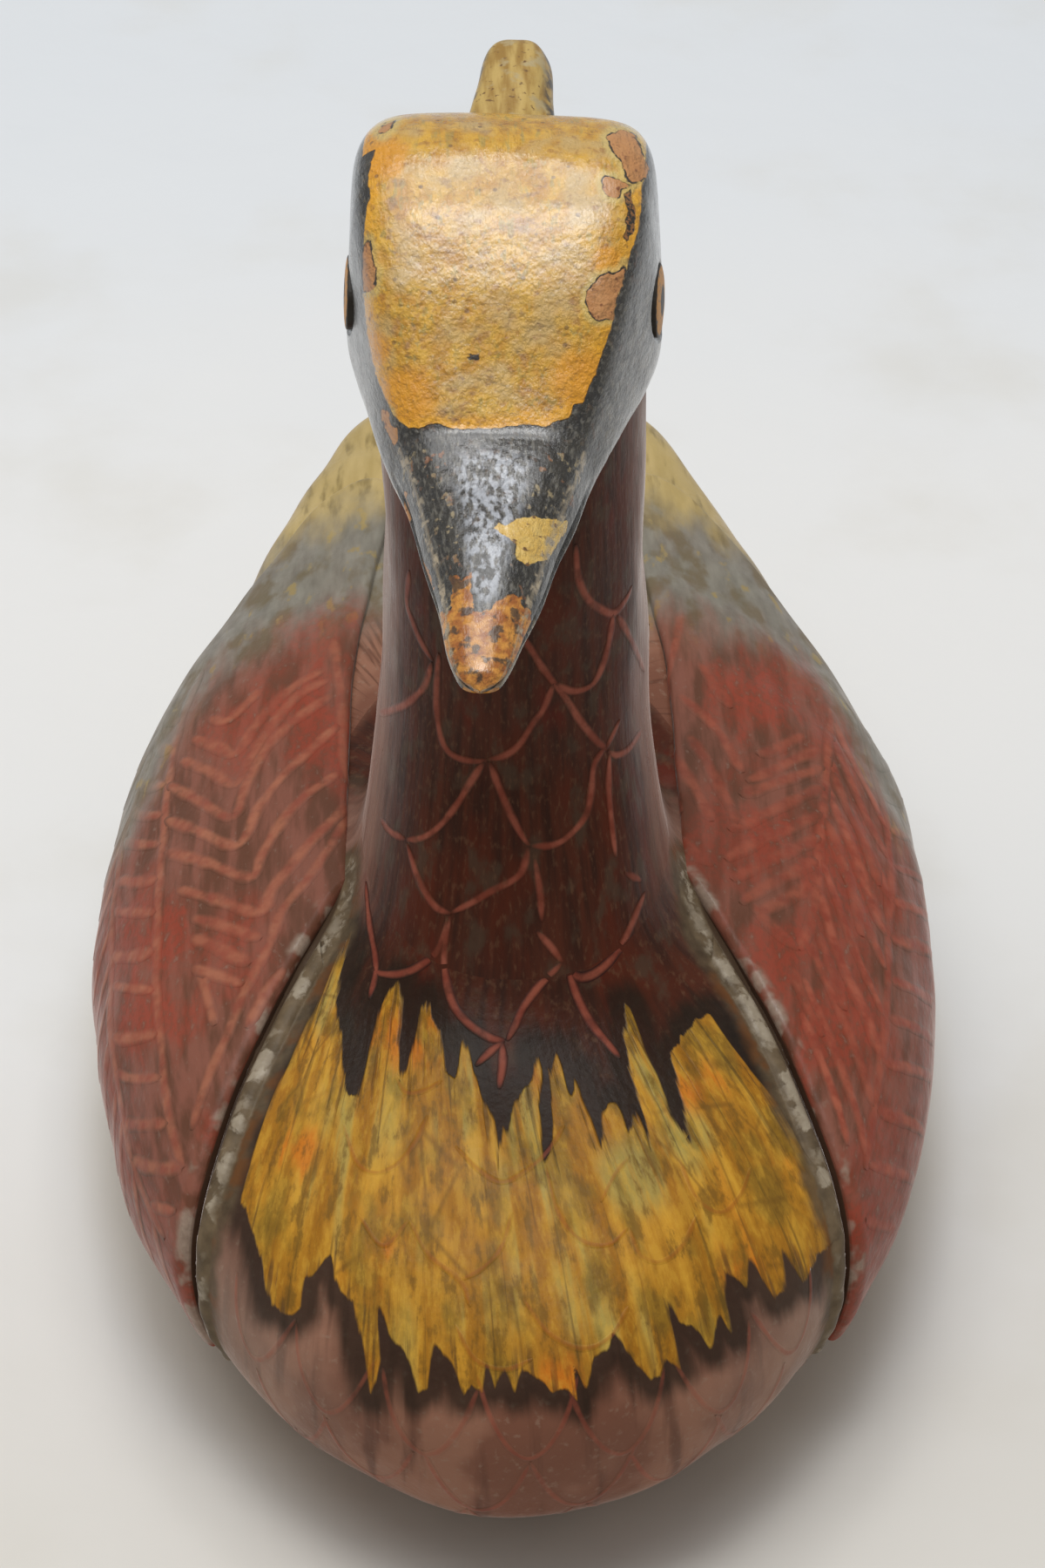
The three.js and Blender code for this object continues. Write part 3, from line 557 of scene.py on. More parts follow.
BREAST_PATCH_FOOT = [
    (964, 1421), (942, 1440), (923, 1473), (910, 1450), (898, 1432), (901, 1484), (891, 1492),
    (876, 1470), (861, 1444), (857, 1476), (832, 1456), (834, 1490), (841, 1530), (827, 1512),
    (816, 1548), (796, 1524), (779, 1519), (760, 1481), (775, 1544), (780, 1572), (763, 1560),
    (758, 1580), (748, 1585), (734, 1569), (703, 1526), (697, 1546), (681, 1564), (674, 1592),
    (658, 1566), (663, 1608), (650, 1594), (634, 1598), (612, 1580), (600, 1570), (591, 1598),
    (580, 1573), (569, 1594), (556, 1562), (553, 1598), (541, 1591), (532, 1602), (521, 1572),
    (500, 1541), (498, 1546), (491, 1594), (480, 1599), (470, 1562), (455, 1542), (446, 1530),
    (434, 1501), (437, 1562), (426, 1600), (415, 1546), (405, 1492), (390, 1482), (380, 1443),
    (350, 1468), (346, 1502), (335, 1511), (312, 1501), (298, 1440)]
FOREHEAD = [
    (440, 120), (431, 154), (432, 166), (428, 180), (423, 197), (422, 212), (426, 226), (421, 237),
    (418, 256), (417, 300), (417, 338), (419, 352), (422, 388), (427, 410), (432, 432), (440, 452),
    (449, 470), (457, 483), (468, 491), (482, 491), (500, 486), (513, 490), (530, 493), (562, 492),
    (602, 488), (627, 490), (640, 483), (654, 480), (659, 465), (671, 462), (676, 444), (684, 430),
    (694, 400), (703, 374), (706, 355), (713, 334), (719, 312), (725, 291), (733, 265), (737, 238),
    (738, 210), (748, 196), (744, 160), (728, 120)]
# What has flaked off the head, down to the ground coat
FLAKES = {
    "crown_corner": [(695, 156), (705, 150), (716, 149), (728, 153), (736, 168), (740, 183),
                     (747, 195), (743, 204), (735, 208), (727, 212), (721, 208), (718, 203),
                     (717, 196), (712, 185), (706, 177), (699, 166)],
    "brow_round": [(689, 206), (697, 201), (708, 204), (718, 209), (724, 214), (714, 218),
                   (711, 227), (705, 228), (697, 225), (693, 219)],
    "cheek_right": [(672, 346), (673, 336), (682, 325), (687, 317), (699, 313), (705, 314),
                    (712, 309), (717, 301), (719, 313), (714, 330), (708, 347), (705, 368),
                    (697, 367), (686, 368), (678, 363), (674, 355)],
    "brow_left": [(417, 283), (424, 274), (427, 286), (430, 305), (434, 309), (431, 323),
                  (431, 333), (424, 336), (416, 336), (415, 311)],
    "crown_left": [(431, 150), (440, 143), (455, 138), (449, 148), (438, 156)],
    "bill_root_left": [(436, 468), (447, 471), (449, 486), (459, 492), (459, 503), (452, 513),
                       (448, 503), (442, 492), (438, 480)],
    "bill_left": [(462, 560), (467, 563), (474, 595), (471, 605), (464, 590)],
    "bill_left_low": [(482, 638), (488, 645), (496, 660), (499, 676), (495, 681), (488, 664)]}
BARE_STRIP = [(715, 222), (724, 217), (728, 235), (731, 246), (730, 258), (727, 270), (720, 280),
              (715, 273), (718, 261), (716, 254), (720, 242), (717, 231)]
BILL_PATCH = [(567, 607), (573, 600), (582, 603), (591, 596), (613, 593), (632, 596), (653, 598),
              (650, 611), (640, 625), (634, 635), (628, 643), (617, 645), (606, 648), (596, 645),
              (591, 635), (594, 624), (583, 617), (574, 611)]
BILL_TIP = [(505, 706), (517, 699), (521, 681), (513, 660), (528, 662), (541, 658), (543, 686),
            (546, 701), (555, 704), (570, 691), (584, 683), (600, 685), (602, 698), (612, 700),
            (606, 740), (590, 780), (566, 812), (540, 812), (520, 780), (508, 740)]
# Hand-drawn scales on the neck, each a stroke in the photograph's pixels
NECK_NET = [
    [(661, 625), (664, 662), (674, 686), (688, 698), (705, 704), (719, 688), (726, 672)],
    [(704, 704), (702, 722), (696, 751), (686, 778), (674, 790), (655, 793), (636, 784)],
    [(709, 706), (720, 725), (732, 750), (740, 770)],
    [(600, 728), (618, 759), (634, 781), (650, 802), (664, 824), (682, 847), (697, 861)],
    [(636, 784), (625, 812), (611, 832), (597, 854), (580, 867), (560, 872)],
    [(504, 750), (501, 800), (504, 835), (512, 859), (526, 870), (547, 874), (560, 872)],
    [(497, 759), (484, 738), (473, 712), (467, 690), (470, 655)],
    [(496, 760), (487, 788), (468, 807), (450, 815), (436, 818)],
    [(556, 874), (541, 897), (523, 926), (503, 950), (484, 962), (466, 964)],
    [(466, 964), (449, 955), (437, 940)],
    [(562, 875), (576, 911), (591, 944), (603, 965), (609, 971)],
    [(609, 971), (635, 970), (655, 958), (673, 935), (679, 908), (682, 879), (695, 857)],
    [(696, 859), (703, 845), (712, 826)],
    [(698, 862), (708, 867), (722, 860), (737, 838)],
    [(700, 864), (699, 903), (702, 941), (707, 984)],
    [(717, 1002), (737, 1011)],
    [(607, 973), (600, 999), (588, 1011), (564, 1023), (544, 1035), (518, 1048)],
    [(467, 968), (479, 1005), (491, 1029), (503, 1043), (518, 1049)],
    [(614, 985), (620, 1023), (622, 1058)],
    [(517, 1051), (511, 1082), (511, 1117), (520, 1152), (538, 1175), (562, 1191), (580, 1195)],
    [(515, 1055), (503, 1090), (482, 1109), (459, 1118), (435, 1117), (429, 1110)],
    [(420, 1012), (424, 1058), (431, 1099), (431, 1120), (424, 1147)],
    [(646, 1105), (632, 1086), (616, 1069)],
    [(645, 1106), (620, 1131), (602, 1155), (590, 1180), (582, 1195)],
    [(648, 1107), (666, 1122), (688, 1114), (711, 1090), (728, 1055), (741, 1024)],
    [(651, 1110), (663, 1145), (679, 1175), (699, 1199), (712, 1215)],
    [(578, 1196), (562, 1208), (546, 1224)],
    [(577, 1197), (577, 1222), (573, 1250)]]
# Fainter scales drawn over the breast's yellow
BREAST_NET = [
    [(394, 1290), (409, 1333), (430, 1346), (455, 1337), (476, 1312), (491, 1280)],
    [(455, 1237), (466, 1254), (487, 1252), (508, 1240)],
    [(523, 1316), (550, 1343), (576, 1357), (602, 1345), (626, 1325), (648, 1292)],
    [(528, 1470), (555, 1455), (576, 1431), (588, 1392)],
    [(626, 1337), (641, 1392), (668, 1424), (700, 1428), (722, 1408)],
    [(722, 1408), (735, 1440), (760, 1448), (785, 1428), (800, 1395)],
    [(690, 1380), (705, 1350), (722, 1328)],
    [(780, 1330), (800, 1375), (828, 1392), (850, 1372), (862, 1340)],
    [(470, 1400), (492, 1440), (528, 1470), (540, 1500)],
    [(600, 1490), (630, 1530), (668, 1548), (700, 1535), (722, 1500)],
    [(412, 1395), (440, 1430), (470, 1400)],
    [(522, 1520), (545, 1560), (580, 1572), (612, 1560)]]


def rgb(code):
    """Linear colour of an sRGB hex code."""
    parts = [(code >> shift & 255) / 255 for shift in (16, 8, 0)]
    return (*[v / 12.92 if v <= 0.04045 else ((v + 0.055) / 1.055) ** 2.4 for v in parts], 1)


# What is the same all over each finish. Old thin varnish has little gloss face on, and its dust
# shows at grazing angles.
DUST = {"Sheen_Roughness": 0.2, "Sheen_Tint": (1, 0.88, 0.82, 1)}
BODY_GLOSS = {"IOR": 1.24, "Sheen_Weight": 0.6, **DUST}
WING_GLOSS = {"IOR": 1.28, "Sheen_Weight": 0.4, **DUST}
HEAD_GLOSS = {"IOR": 1.35, "Coat_Weight": 1, "Coat_Roughness": 0.2, "Coat_IOR": 1.58}
CREST_GLOSS = {"Roughness": 0.42, "Coat_Weight": 0.2, "Coat_Roughness": 0.15}
EYE_GLOSS = {"Roughness": 0.5, "IOR": 1.3, "Coat_Weight": 0.1, "Coat_Roughness": 0.2}
MATT = {"Roughness": 0.62}
HEAD_COAT_DEPTH = 0.065
# The brush strokes' fan on the breast
FLOW_RADIUS = 52
FLOW_CENTRE = np.array([-12, 2, 20])
# Where colours change, in millimetres, each from where it starts to where it is full. Behind the
# breast follow grey, sooner by its lead where the sides are, and then ochre. The dark root and
# underside lie at these heights, and the root ahead of that distance behind the breast.
GREY_BEHIND = (146, 168)
OCHRE_BEHIND = (180, 198)
REAR_SIDES = (43, 62)
GREY_LEAD = 36
ROOT_HEIGHTS = (44, 55)
ROOT_AHEAD_OF = (122, 112)
UNDERSIDE = (7.5, 3.5)
# The streaked sides of the head, from the duck's middle, and how strongly the neck's sides are
# painted paler as painted sheen
STREAKS_BEHIND = (-38, -32)
NECK_SIDE_SHEEN = 0.72


def operation(name):
    return lambda self, other=0: self.paint.math(name, self, other)


class Value:
    """A number or vector that varies over a surface. Nodes do its arithmetic, | is the larger of
    two, and a number stands on the right, or on the left of a minus."""

    def __init__(self, paint, socket):
        self.paint, self.socket = paint, socket

    __add__ = operation("ADD")
    __sub__ = operation("SUBTRACT")
    __mul__ = operation("MULTIPLY")
    __or__ = operation("MAXIMUM")
    __abs__ = operation("ABSOLUTE")

    def __rsub__(self, other):
        return self.paint.math("SUBTRACT", other, self)

    def axes(self):
        node = self.paint.node("ShaderNodeSeparateXYZ")
        self.paint.put(node.inputs[0], self)
        return [Value(self.paint, output) for output in node.outputs]

    def __getitem__(self, axis):
        return self.axes()[axis]

    def above(self, low, high):
        """0 where the value is below low, 1 above high; low may be the larger one."""
        node = self.paint.node("ShaderNodeMapRange", interpolation_type="SMOOTHSTEP")
        self.paint.put(node.inputs["Value"], self)
        limits = (low, high, 0, 1) if low <= high else (high, low, 1, 0)
        for socket, limit in zip(("From Min", "From Max", "To Min", "To Max"), limits):
            node.inputs[socket].default_value = limit
        return Value(self.paint, node.outputs["Result"])


class Finish:
    """A painted or bare surface, built from nodes. What is the same all over is given by name."""

    def __init__(self, name, **fixed):
        self.material = bpy.data.materials.new(name)
        self.material.use_nodes = True
        self.tree = self.material.node_tree
        self.surface = self.tree.nodes["Principled BSDF"]
        for socket, value in fixed.items():
            self.surface.inputs[socket.replace("_", " ")].default_value = value
        place = self.node("ShaderNodeTexCoord").outputs["Object"]
        self.place = self.times(place, (1 / MM,) * 3)

    def node(self, kind, **settings):
        node = self.tree.nodes.new(kind)
        for name, value in settings.items():
            setattr(node, name, value)
        return node

    def put(self, socket, value):
        value = value.socket if isinstance(value, Value) else value
        if isinstance(value, bpy.types.NodeSocket):
            self.tree.links.new(value, socket)
        else:
            socket.default_value = value

    def math(self, name, a, b=0):
        node = self.node("ShaderNodeMath", operation=name)
        self.put(node.inputs[0], a)
        self.put(node.inputs[1], b)
        return Value(self, node.outputs[0])

    def times(self, vector, factors):
        node = self.node("ShaderNodeVectorMath", operation="MULTIPLY")
        self.put(node.inputs[0], vector)
        self.put(node.inputs[1], factors)
        return Value(self, node.outputs[0])

    def known(self, name):
        """The vector that the mesh stores at each point under a name."""
        return Value(self, self.node("ShaderNodeAttribute", attribute_name=name).outputs["Vector"])

    def texture(self, kind, size, stretch, place, **settings):
        node = self.node(kind, **settings)
        if not isinstance(stretch, tuple):
            stretch = (1, stretch, 1)
        factors = tuple(s / size for s in stretch)
        self.put(node.inputs["Vector"], self.times(place or self.place, factors))
        node.inputs["Scale"].default_value = 1
        return node

    def noise(self, size, stretch=1, detail=5, place=None, rough=0.5):
        """Smooth noise whose blotches measure about size, in millimetres. A stretch below 1 makes
        them that much longer: one number does so along y, three do so along x, y and z."""
        node = self.texture("ShaderNodeTexNoise", size, stretch, place)
        node.inputs["Detail"].default_value = detail
        node.inputs["Roughness"].default_value = rough
        return Value(self, node.outputs["Fac"])

    def cells(self, size, feature="F1", place=None, stretch=1):
        node = self.texture("ShaderNodeTexVoronoi", size, stretch, place, feature=feature)
        return Value(self, node.outputs["Distance"])

    def mix(self, share, a, b):
        node = self.node("ShaderNodeMix", data_type="RGBA")
        self.put(node.inputs["Factor"], share)
        self.put(node.inputs["A"], rgb(a) if isinstance(a, int) else a)
        self.put(node.inputs["B"], rgb(b) if isinstance(b, int) else b)
        return Value(self, node.outputs["Result"])

    def blend(self, share, a, b):
        """Mix of two numbers."""
        return share * (b - a) + a

    def emboss(self, socket, height, depth):
        node = self.node("ShaderNodeBump")
        node.inputs["Strength"].default_value = 1
        node.inputs["Distance"].default_value = depth * MM
        self.put(node.inputs["Height"], height)
        self.put(self.surface.inputs[socket], node.outputs["Normal"])

    def finish(self, colour, height, depth, roughness=None):
        self.put(self.surface.inputs["Base Color"], colour)
        self.emboss("Normal", height, depth)
        if roughness is not None:
            self.put(self.surface.inputs["Roughness"], roughness)
        return self.material


def from_breast(paint):
    return paint.place[1] + BODY_LENGTH / 2


def inked(paint, colour, light, dark):
    """Brush strokes over a colour, soft at their sides and starved of paint here and there."""
    strength, tone, across = paint.known("ink").axes()
    line = paint.mix(paint.noise(3, 1, 4).above(0.3, 0.66), dark, light)
    line = paint.mix(tone * 0.4, line, dark)
    soft = abs(across).above(1, 0.2)
    full = paint.noise(2.4, 1, 4).above(0.68, 0.48)
    opacity = strength * soft * (full * 0.45 + 0.5)
    return paint.mix(opacity, colour, line)


def rear_zones(paint, colour):
    """Dark grey behind the feathers and the ochre tail, over what the front is painted."""
    beside = abs(paint.place[0]).above(*REAR_SIDES)
    ragged = paint.noise(7, (1.6, 0.5, 1), 4) * 22 + from_breast(paint)
    leading = beside * GREY_LEAD + ragged
    grey = paint.mix(paint.noise(2.5, (1.5, 0.4, 1)), 0x5b584e, 0x9a978a)
    grey = paint.mix(paint.noise(6, 0.6, 4).above(0.48, 0.62), grey, 0x6f6650)
    grey = paint.mix(paint.noise(3, 0.5, 4).above(0.6, 0.7), grey, 0x98875a)
    ochre = paint.mix(paint.noise(3.5, (1.7, 0.3, 1)), 0xa18a52, 0xc9b27c)
    ochre = paint.mix(paint.noise(4.5, (2, 0.4, 1), 4).above(0.5, 0.7), ochre, 0x8d7a4c)
    colour = paint.mix(leading.above(*GREY_BEHIND) * 0.92, colour, grey)
    return paint.mix(ragged.above(*OCHRE_BEHIND), colour, ochre)


def breast_yellow(paint, flow):
    """Yellow strokes that run out into points, with the black they were drawn over: the mask of the
    yellow, its colour, and the mask of the black around it."""
    margin, orange_zone, olive_zone = paint.known("patch").axes()
    ragged = paint.noise(0.9, 0.1, 3, flow)
    margin += ragged * 2 - 1
    streak = paint.noise(1.7, 0.12, 5, flow)
    fine = paint.noise(0.6, 0.08, 4, flow)
    blotch = paint.noise(8, 0.55, 3, flow)
    colour = paint.mix(streak.above(0.36, 0.64), 0x9c681a, 0xcb9530)
    colour = paint.mix(blotch.above(0.46, 0.62), colour, 0xa46f1f)
    colour = paint.mix(streak.above(0.56, 0.68) * blotch.above(0.5, 0.4), colour, 0xcda13c)
    olive = blotch.above(0.5, 0.36) | olive_zone.above(0.2, 0.7)
    olive = streak.above(0.46, 0.6) * olive
    colour = paint.mix(olive * 0.75, colour, 0xa29450)
    burnt = paint.noise(4.5, 0.22, 3, flow).above(0.58, 0.7)
    near = streak * 3 + (orange_zone - 1.5)
    burnt = burnt * 0.6 | near.above(0.1, 0.9)
    colour = paint.mix(burnt * 0.8, colour, 0xca701a)
    dirt = paint.noise(1.3, 0.3, 5, flow).above(0.56, 0.74)
    colour = paint.mix(dirt * 0.6, colour, 0x5c4018)
    mottle = paint.noise(3.2, 0.7, 5, flow).above(0.48, 0.62)
    colour = paint.mix(mottle * 0.6, colour, 0x7d6524)
    grain = paint.noise(1.3, 0.5, 5, flow, 0.65)
    colour = paint.mix(grain.above(0.5, 0.64) * 0.7, colour, 0x6f501c)
    colour = paint.mix(grain.above(0.5, 0.36) * 0.35, colour, 0xd9a83c)
    thread = paint.noise(0.75, 0.04, 3, flow).above(0.6, 0.68)
    colour = paint.mix(thread * 0.5, colour, 0x4a3a1c)
    crackle = paint.cells(3.4, "DISTANCE_TO_EDGE", flow, (1, 0.6, 1)).above(0.05, 0)
    worn_zone = paint.noise(12, 1, 2, flow).above(0.44, 0.58)
    colour = paint.mix(crackle * worn_zone * 0.45, colour, 0x6b4a1a)
    thin = fine.above(0.56, 0.68) * margin.above(5, 0.5)
    solid = 1 - thin * 0.55
    mask = margin.above(-0.15, 0.25) * solid
    black = (streak * 3 + margin).above(-3, 0.2)
    return mask, colour, black * 0.85


def neck_colour(paint, flow):
    """Maroon over black, streaked down the neck, with wine and grey-brown blotches, and painted
    paler along its sides: a painted sheen where the light grazes them."""
    streak = paint.noise(1.5, 0.1, 4, flow)
    blotch = paint.noise(9, 0.45, 3, flow)
    fine = paint.noise(0.7, 0.5, 5, flow)
    colour = paint.mix(streak.above(0.34, 0.68), 0x391f15, 0x52291a)
    colour = paint.mix(blotch.above(0.47, 0.64) * 0.8, colour, 0x572514)
    wine = paint.noise(7, 0.4, 2, flow).above(0.56, 0.74)
    colour = paint.mix(wine * 0.7, colour, 0x66200f)
    grey = paint.noise(4, 0.7, 5, flow).above(0.52, 0.66)
    colour = paint.mix(grey * 0.7, colour, 0x4d3c2e)
    colour = paint.mix(fine.above(0.52, 0.72) * 0.45, colour, 0x6a4b36)
    turn = flow[0] * (2 / FLOW_RADIUS)
    beside = abs(paint.math("SINE", turn))
    # Painted sheen: the neck's sides, where the light grazes them, are painted paler pinkish grey
    side_sheen = paint.noise(5, 0.3, 4, flow) * 0.3 + (beside - 0.15)
    return paint.mix(side_sheen.above(0.74, 1.1) * NECK_SIDE_SHEEN, colour,
                     paint.mix(streak, 0x8a6152, 0xc09c8a))


def body_finish():
    paint = Finish("body_paint", **BODY_GLOSS)
    edge = paint.known("edge")
    flow = paint.known("flow")
    blotch = paint.noise(13, 1, 3)
    fine = paint.noise(1.1)
    streak = paint.noise(1.8, 0.12, 4, flow)
    colour = paint.mix(blotch.above(0.4, 0.62), 0x7d5240, 0x966a55)
    colour = paint.mix(streak.above(0.52, 0.68) * 0.7, colour, 0x5a382a)
    colour = paint.mix(fine.above(0.56, 0.75) * 0.4, colour, 0x9c8370)
    height = paint.place[2]
    under = (blotch * 6 + height).above(*UNDERSIDE)
    # Painted sheen: the lower flanks are painted paler pinkish grey, as the floor's reflection
    # lights them
    beside = abs(paint.place[0]).above(16, 48) * height.above(50, 30)
    colour = paint.mix(beside * 0.45, colour, 0xb09c8c)
    colour = paint.mix(under, colour, 0x33241a)
    colour = rear_zones(paint, colour)
    mask, yellow, black = breast_yellow(paint, flow)
    root = height.above(*ROOT_HEIGHTS) * from_breast(paint).above(*ROOT_AHEAD_OF)
    maroon = paint.mix(streak.above(0.36, 0.64), 0x2e1711, 0x4c241a)
    colour = paint.mix(root, colour, maroon)
    root_flow = paint.known("root_flow")
    colour = paint.mix(root_flow[2], colour, neck_colour(paint, root_flow))
    colour = paint.mix(black, colour, paint.mix(fine, 0x17120c, 0x2c2319))
    # Leading edges: a black groove, the bead ahead of it, worn pale and painted with highlights,
    # and a smoky band ahead of that
    ahead = edge[0]
    reach = paint.noise(6, 1, 3) * 4 - 2
    shifted = ahead + reach
    smoky = shifted.above(7.4, 4.8) * ahead.above(-3, 0)
    smoke = paint.mix(paint.noise(2), 0x2c241a, 0x74624a)
    smoke = paint.mix(paint.noise(7, 1, 3).above(0.48, 0.62), smoke, 0x6a4526)
    colour = paint.mix(mask, colour, yellow)
    colour = paint.mix(smoky * 0.88, colour, smoke)
    across = abs(ahead - (WING_GROOVE + SHOULDER_BEAD / 2))
    wavy = paint.noise(1.8, 1, 4) * 1.6 + across
    # The bead's pale patches: worn paint, and at the listed spots also painted highlights
    spots = paint.noise(1.4) * 2.4 + paint.known("spots")[0]
    worn = spots.above(1.12, 1.6) | paint.noise(3.6).above(0.55, 0.66) * 0.6
    worn *= wavy.above(2.6, 1.3)
    bead = paint.mix(paint.noise(1.6), 0x7d6f5b, 0xbdb19d)
    colour = paint.mix(wavy.above(3, 2.2), colour, paint.mix(paint.noise(2.6), 0x33291e, 0x857258))
    colour = paint.mix(worn * 0.9, colour, bead)
    groove = ahead.above(WING_GROOVE + 0.5, WING_GROOVE) * ahead.above(-3, -1)
    colour = paint.mix(groove, colour, 0x4a3a2c)
    line = paint.mix(mask, 0xa85c46, 0xa2591f)
    colour = inked(paint, colour, line, paint.mix(mask, 0x8a4030, 0x8a4c1c))
    relief = mask * 0.5 + streak * 0.6 + fine * 0.45 - worn * 0.4
    rough = paint.noise(4).above(0.3, 0.75)
    rough = paint.blend(rough, 0.4, 0.6)
    rough = paint.blend(root_flow[2], rough, 0.34)
    rough = paint.blend(worn, rough, 0.22)
    return paint.finish(colour, relief, 0.2, rough)


def neck_finish():
    paint = Finish("neck_paint", **BODY_GLOSS)
    flow = paint.known("flow")
    height = paint.place[2]
    streak = paint.noise(1.5, 0.06, 4, flow)
    fine = paint.noise(0.7, 0.4, 5, flow)
    colour = neck_colour(paint, flow)
    mask, yellow, black = breast_yellow(paint, flow)
    colour = paint.mix(height.above(84, 74) * black, colour, 0x1a140e)
    colour = paint.mix(mask, colour, yellow)
    colour = inked(paint, colour, 0xa8604c, 0x84402f)
    relief = mask * 0.5 + streak * 0.6 + fine * 0.35
    rough = paint.noise(3, 0.5, 5, flow).above(0.3, 0.72)
    return paint.finish(colour, relief, 0.16, paint.blend(rough, 0.26, 0.42))


def wing_finish(name, light, dark):
    paint = Finish(name, **WING_GLOSS)
    edge = paint.known("edge")
    wash = paint.known("wash")
    streak = paint.noise(2.4, 0.16, 4)
    blotch = paint.noise(14, 0.6, 3)
    fine = paint.noise(0.9, 0.6)
    colour = paint.mix(streak.above(0.36, 0.64), 0x65402f, 0x865444)
    red = blotch.above(0.48, 0.64) * 0.5
    smear = paint.noise(3.5, 0.35)
    spot = smear * 2.2 + (wash[0] - 1.1)
    red |= spot.above(-0.1, 0.7) * 0.7
    red |= edge[2].above(0.45, 0.8) * 0.55
    colour = paint.mix(red, colour, paint.mix(fine.above(0.4, 0.66), 0x9c402c, 0x84422f))
    colour = paint.mix(fine.above(0.6, 0.78) * 0.5, colour, 0x8d7466)
    rim = edge[0].above(-2.4, -0.7)
    worn = rim * paint.noise(6, 1, 3).above(0.5, 0.62)
    colour = paint.mix(worn * 0.8, colour, paint.mix(paint.noise(0.8, 1, 3), 0x7b6a5c, 0xb3a290))
    colour = inked(paint, colour, light, dark)
    wall = edge[1].above(0.62, 0.3)
    colour = paint.mix(wall, colour, 0x4a3528)
    colour = rear_zones(paint, colour)
    relief = streak * 0.7 + fine * 0.5
    rough = paint.noise(4).above(0.3, 0.75)
    rough = paint.blend(rough, 0.36, 0.56)
    return paint.finish(colour, relief, 0.16, paint.blend(worn, rough, 0.25))


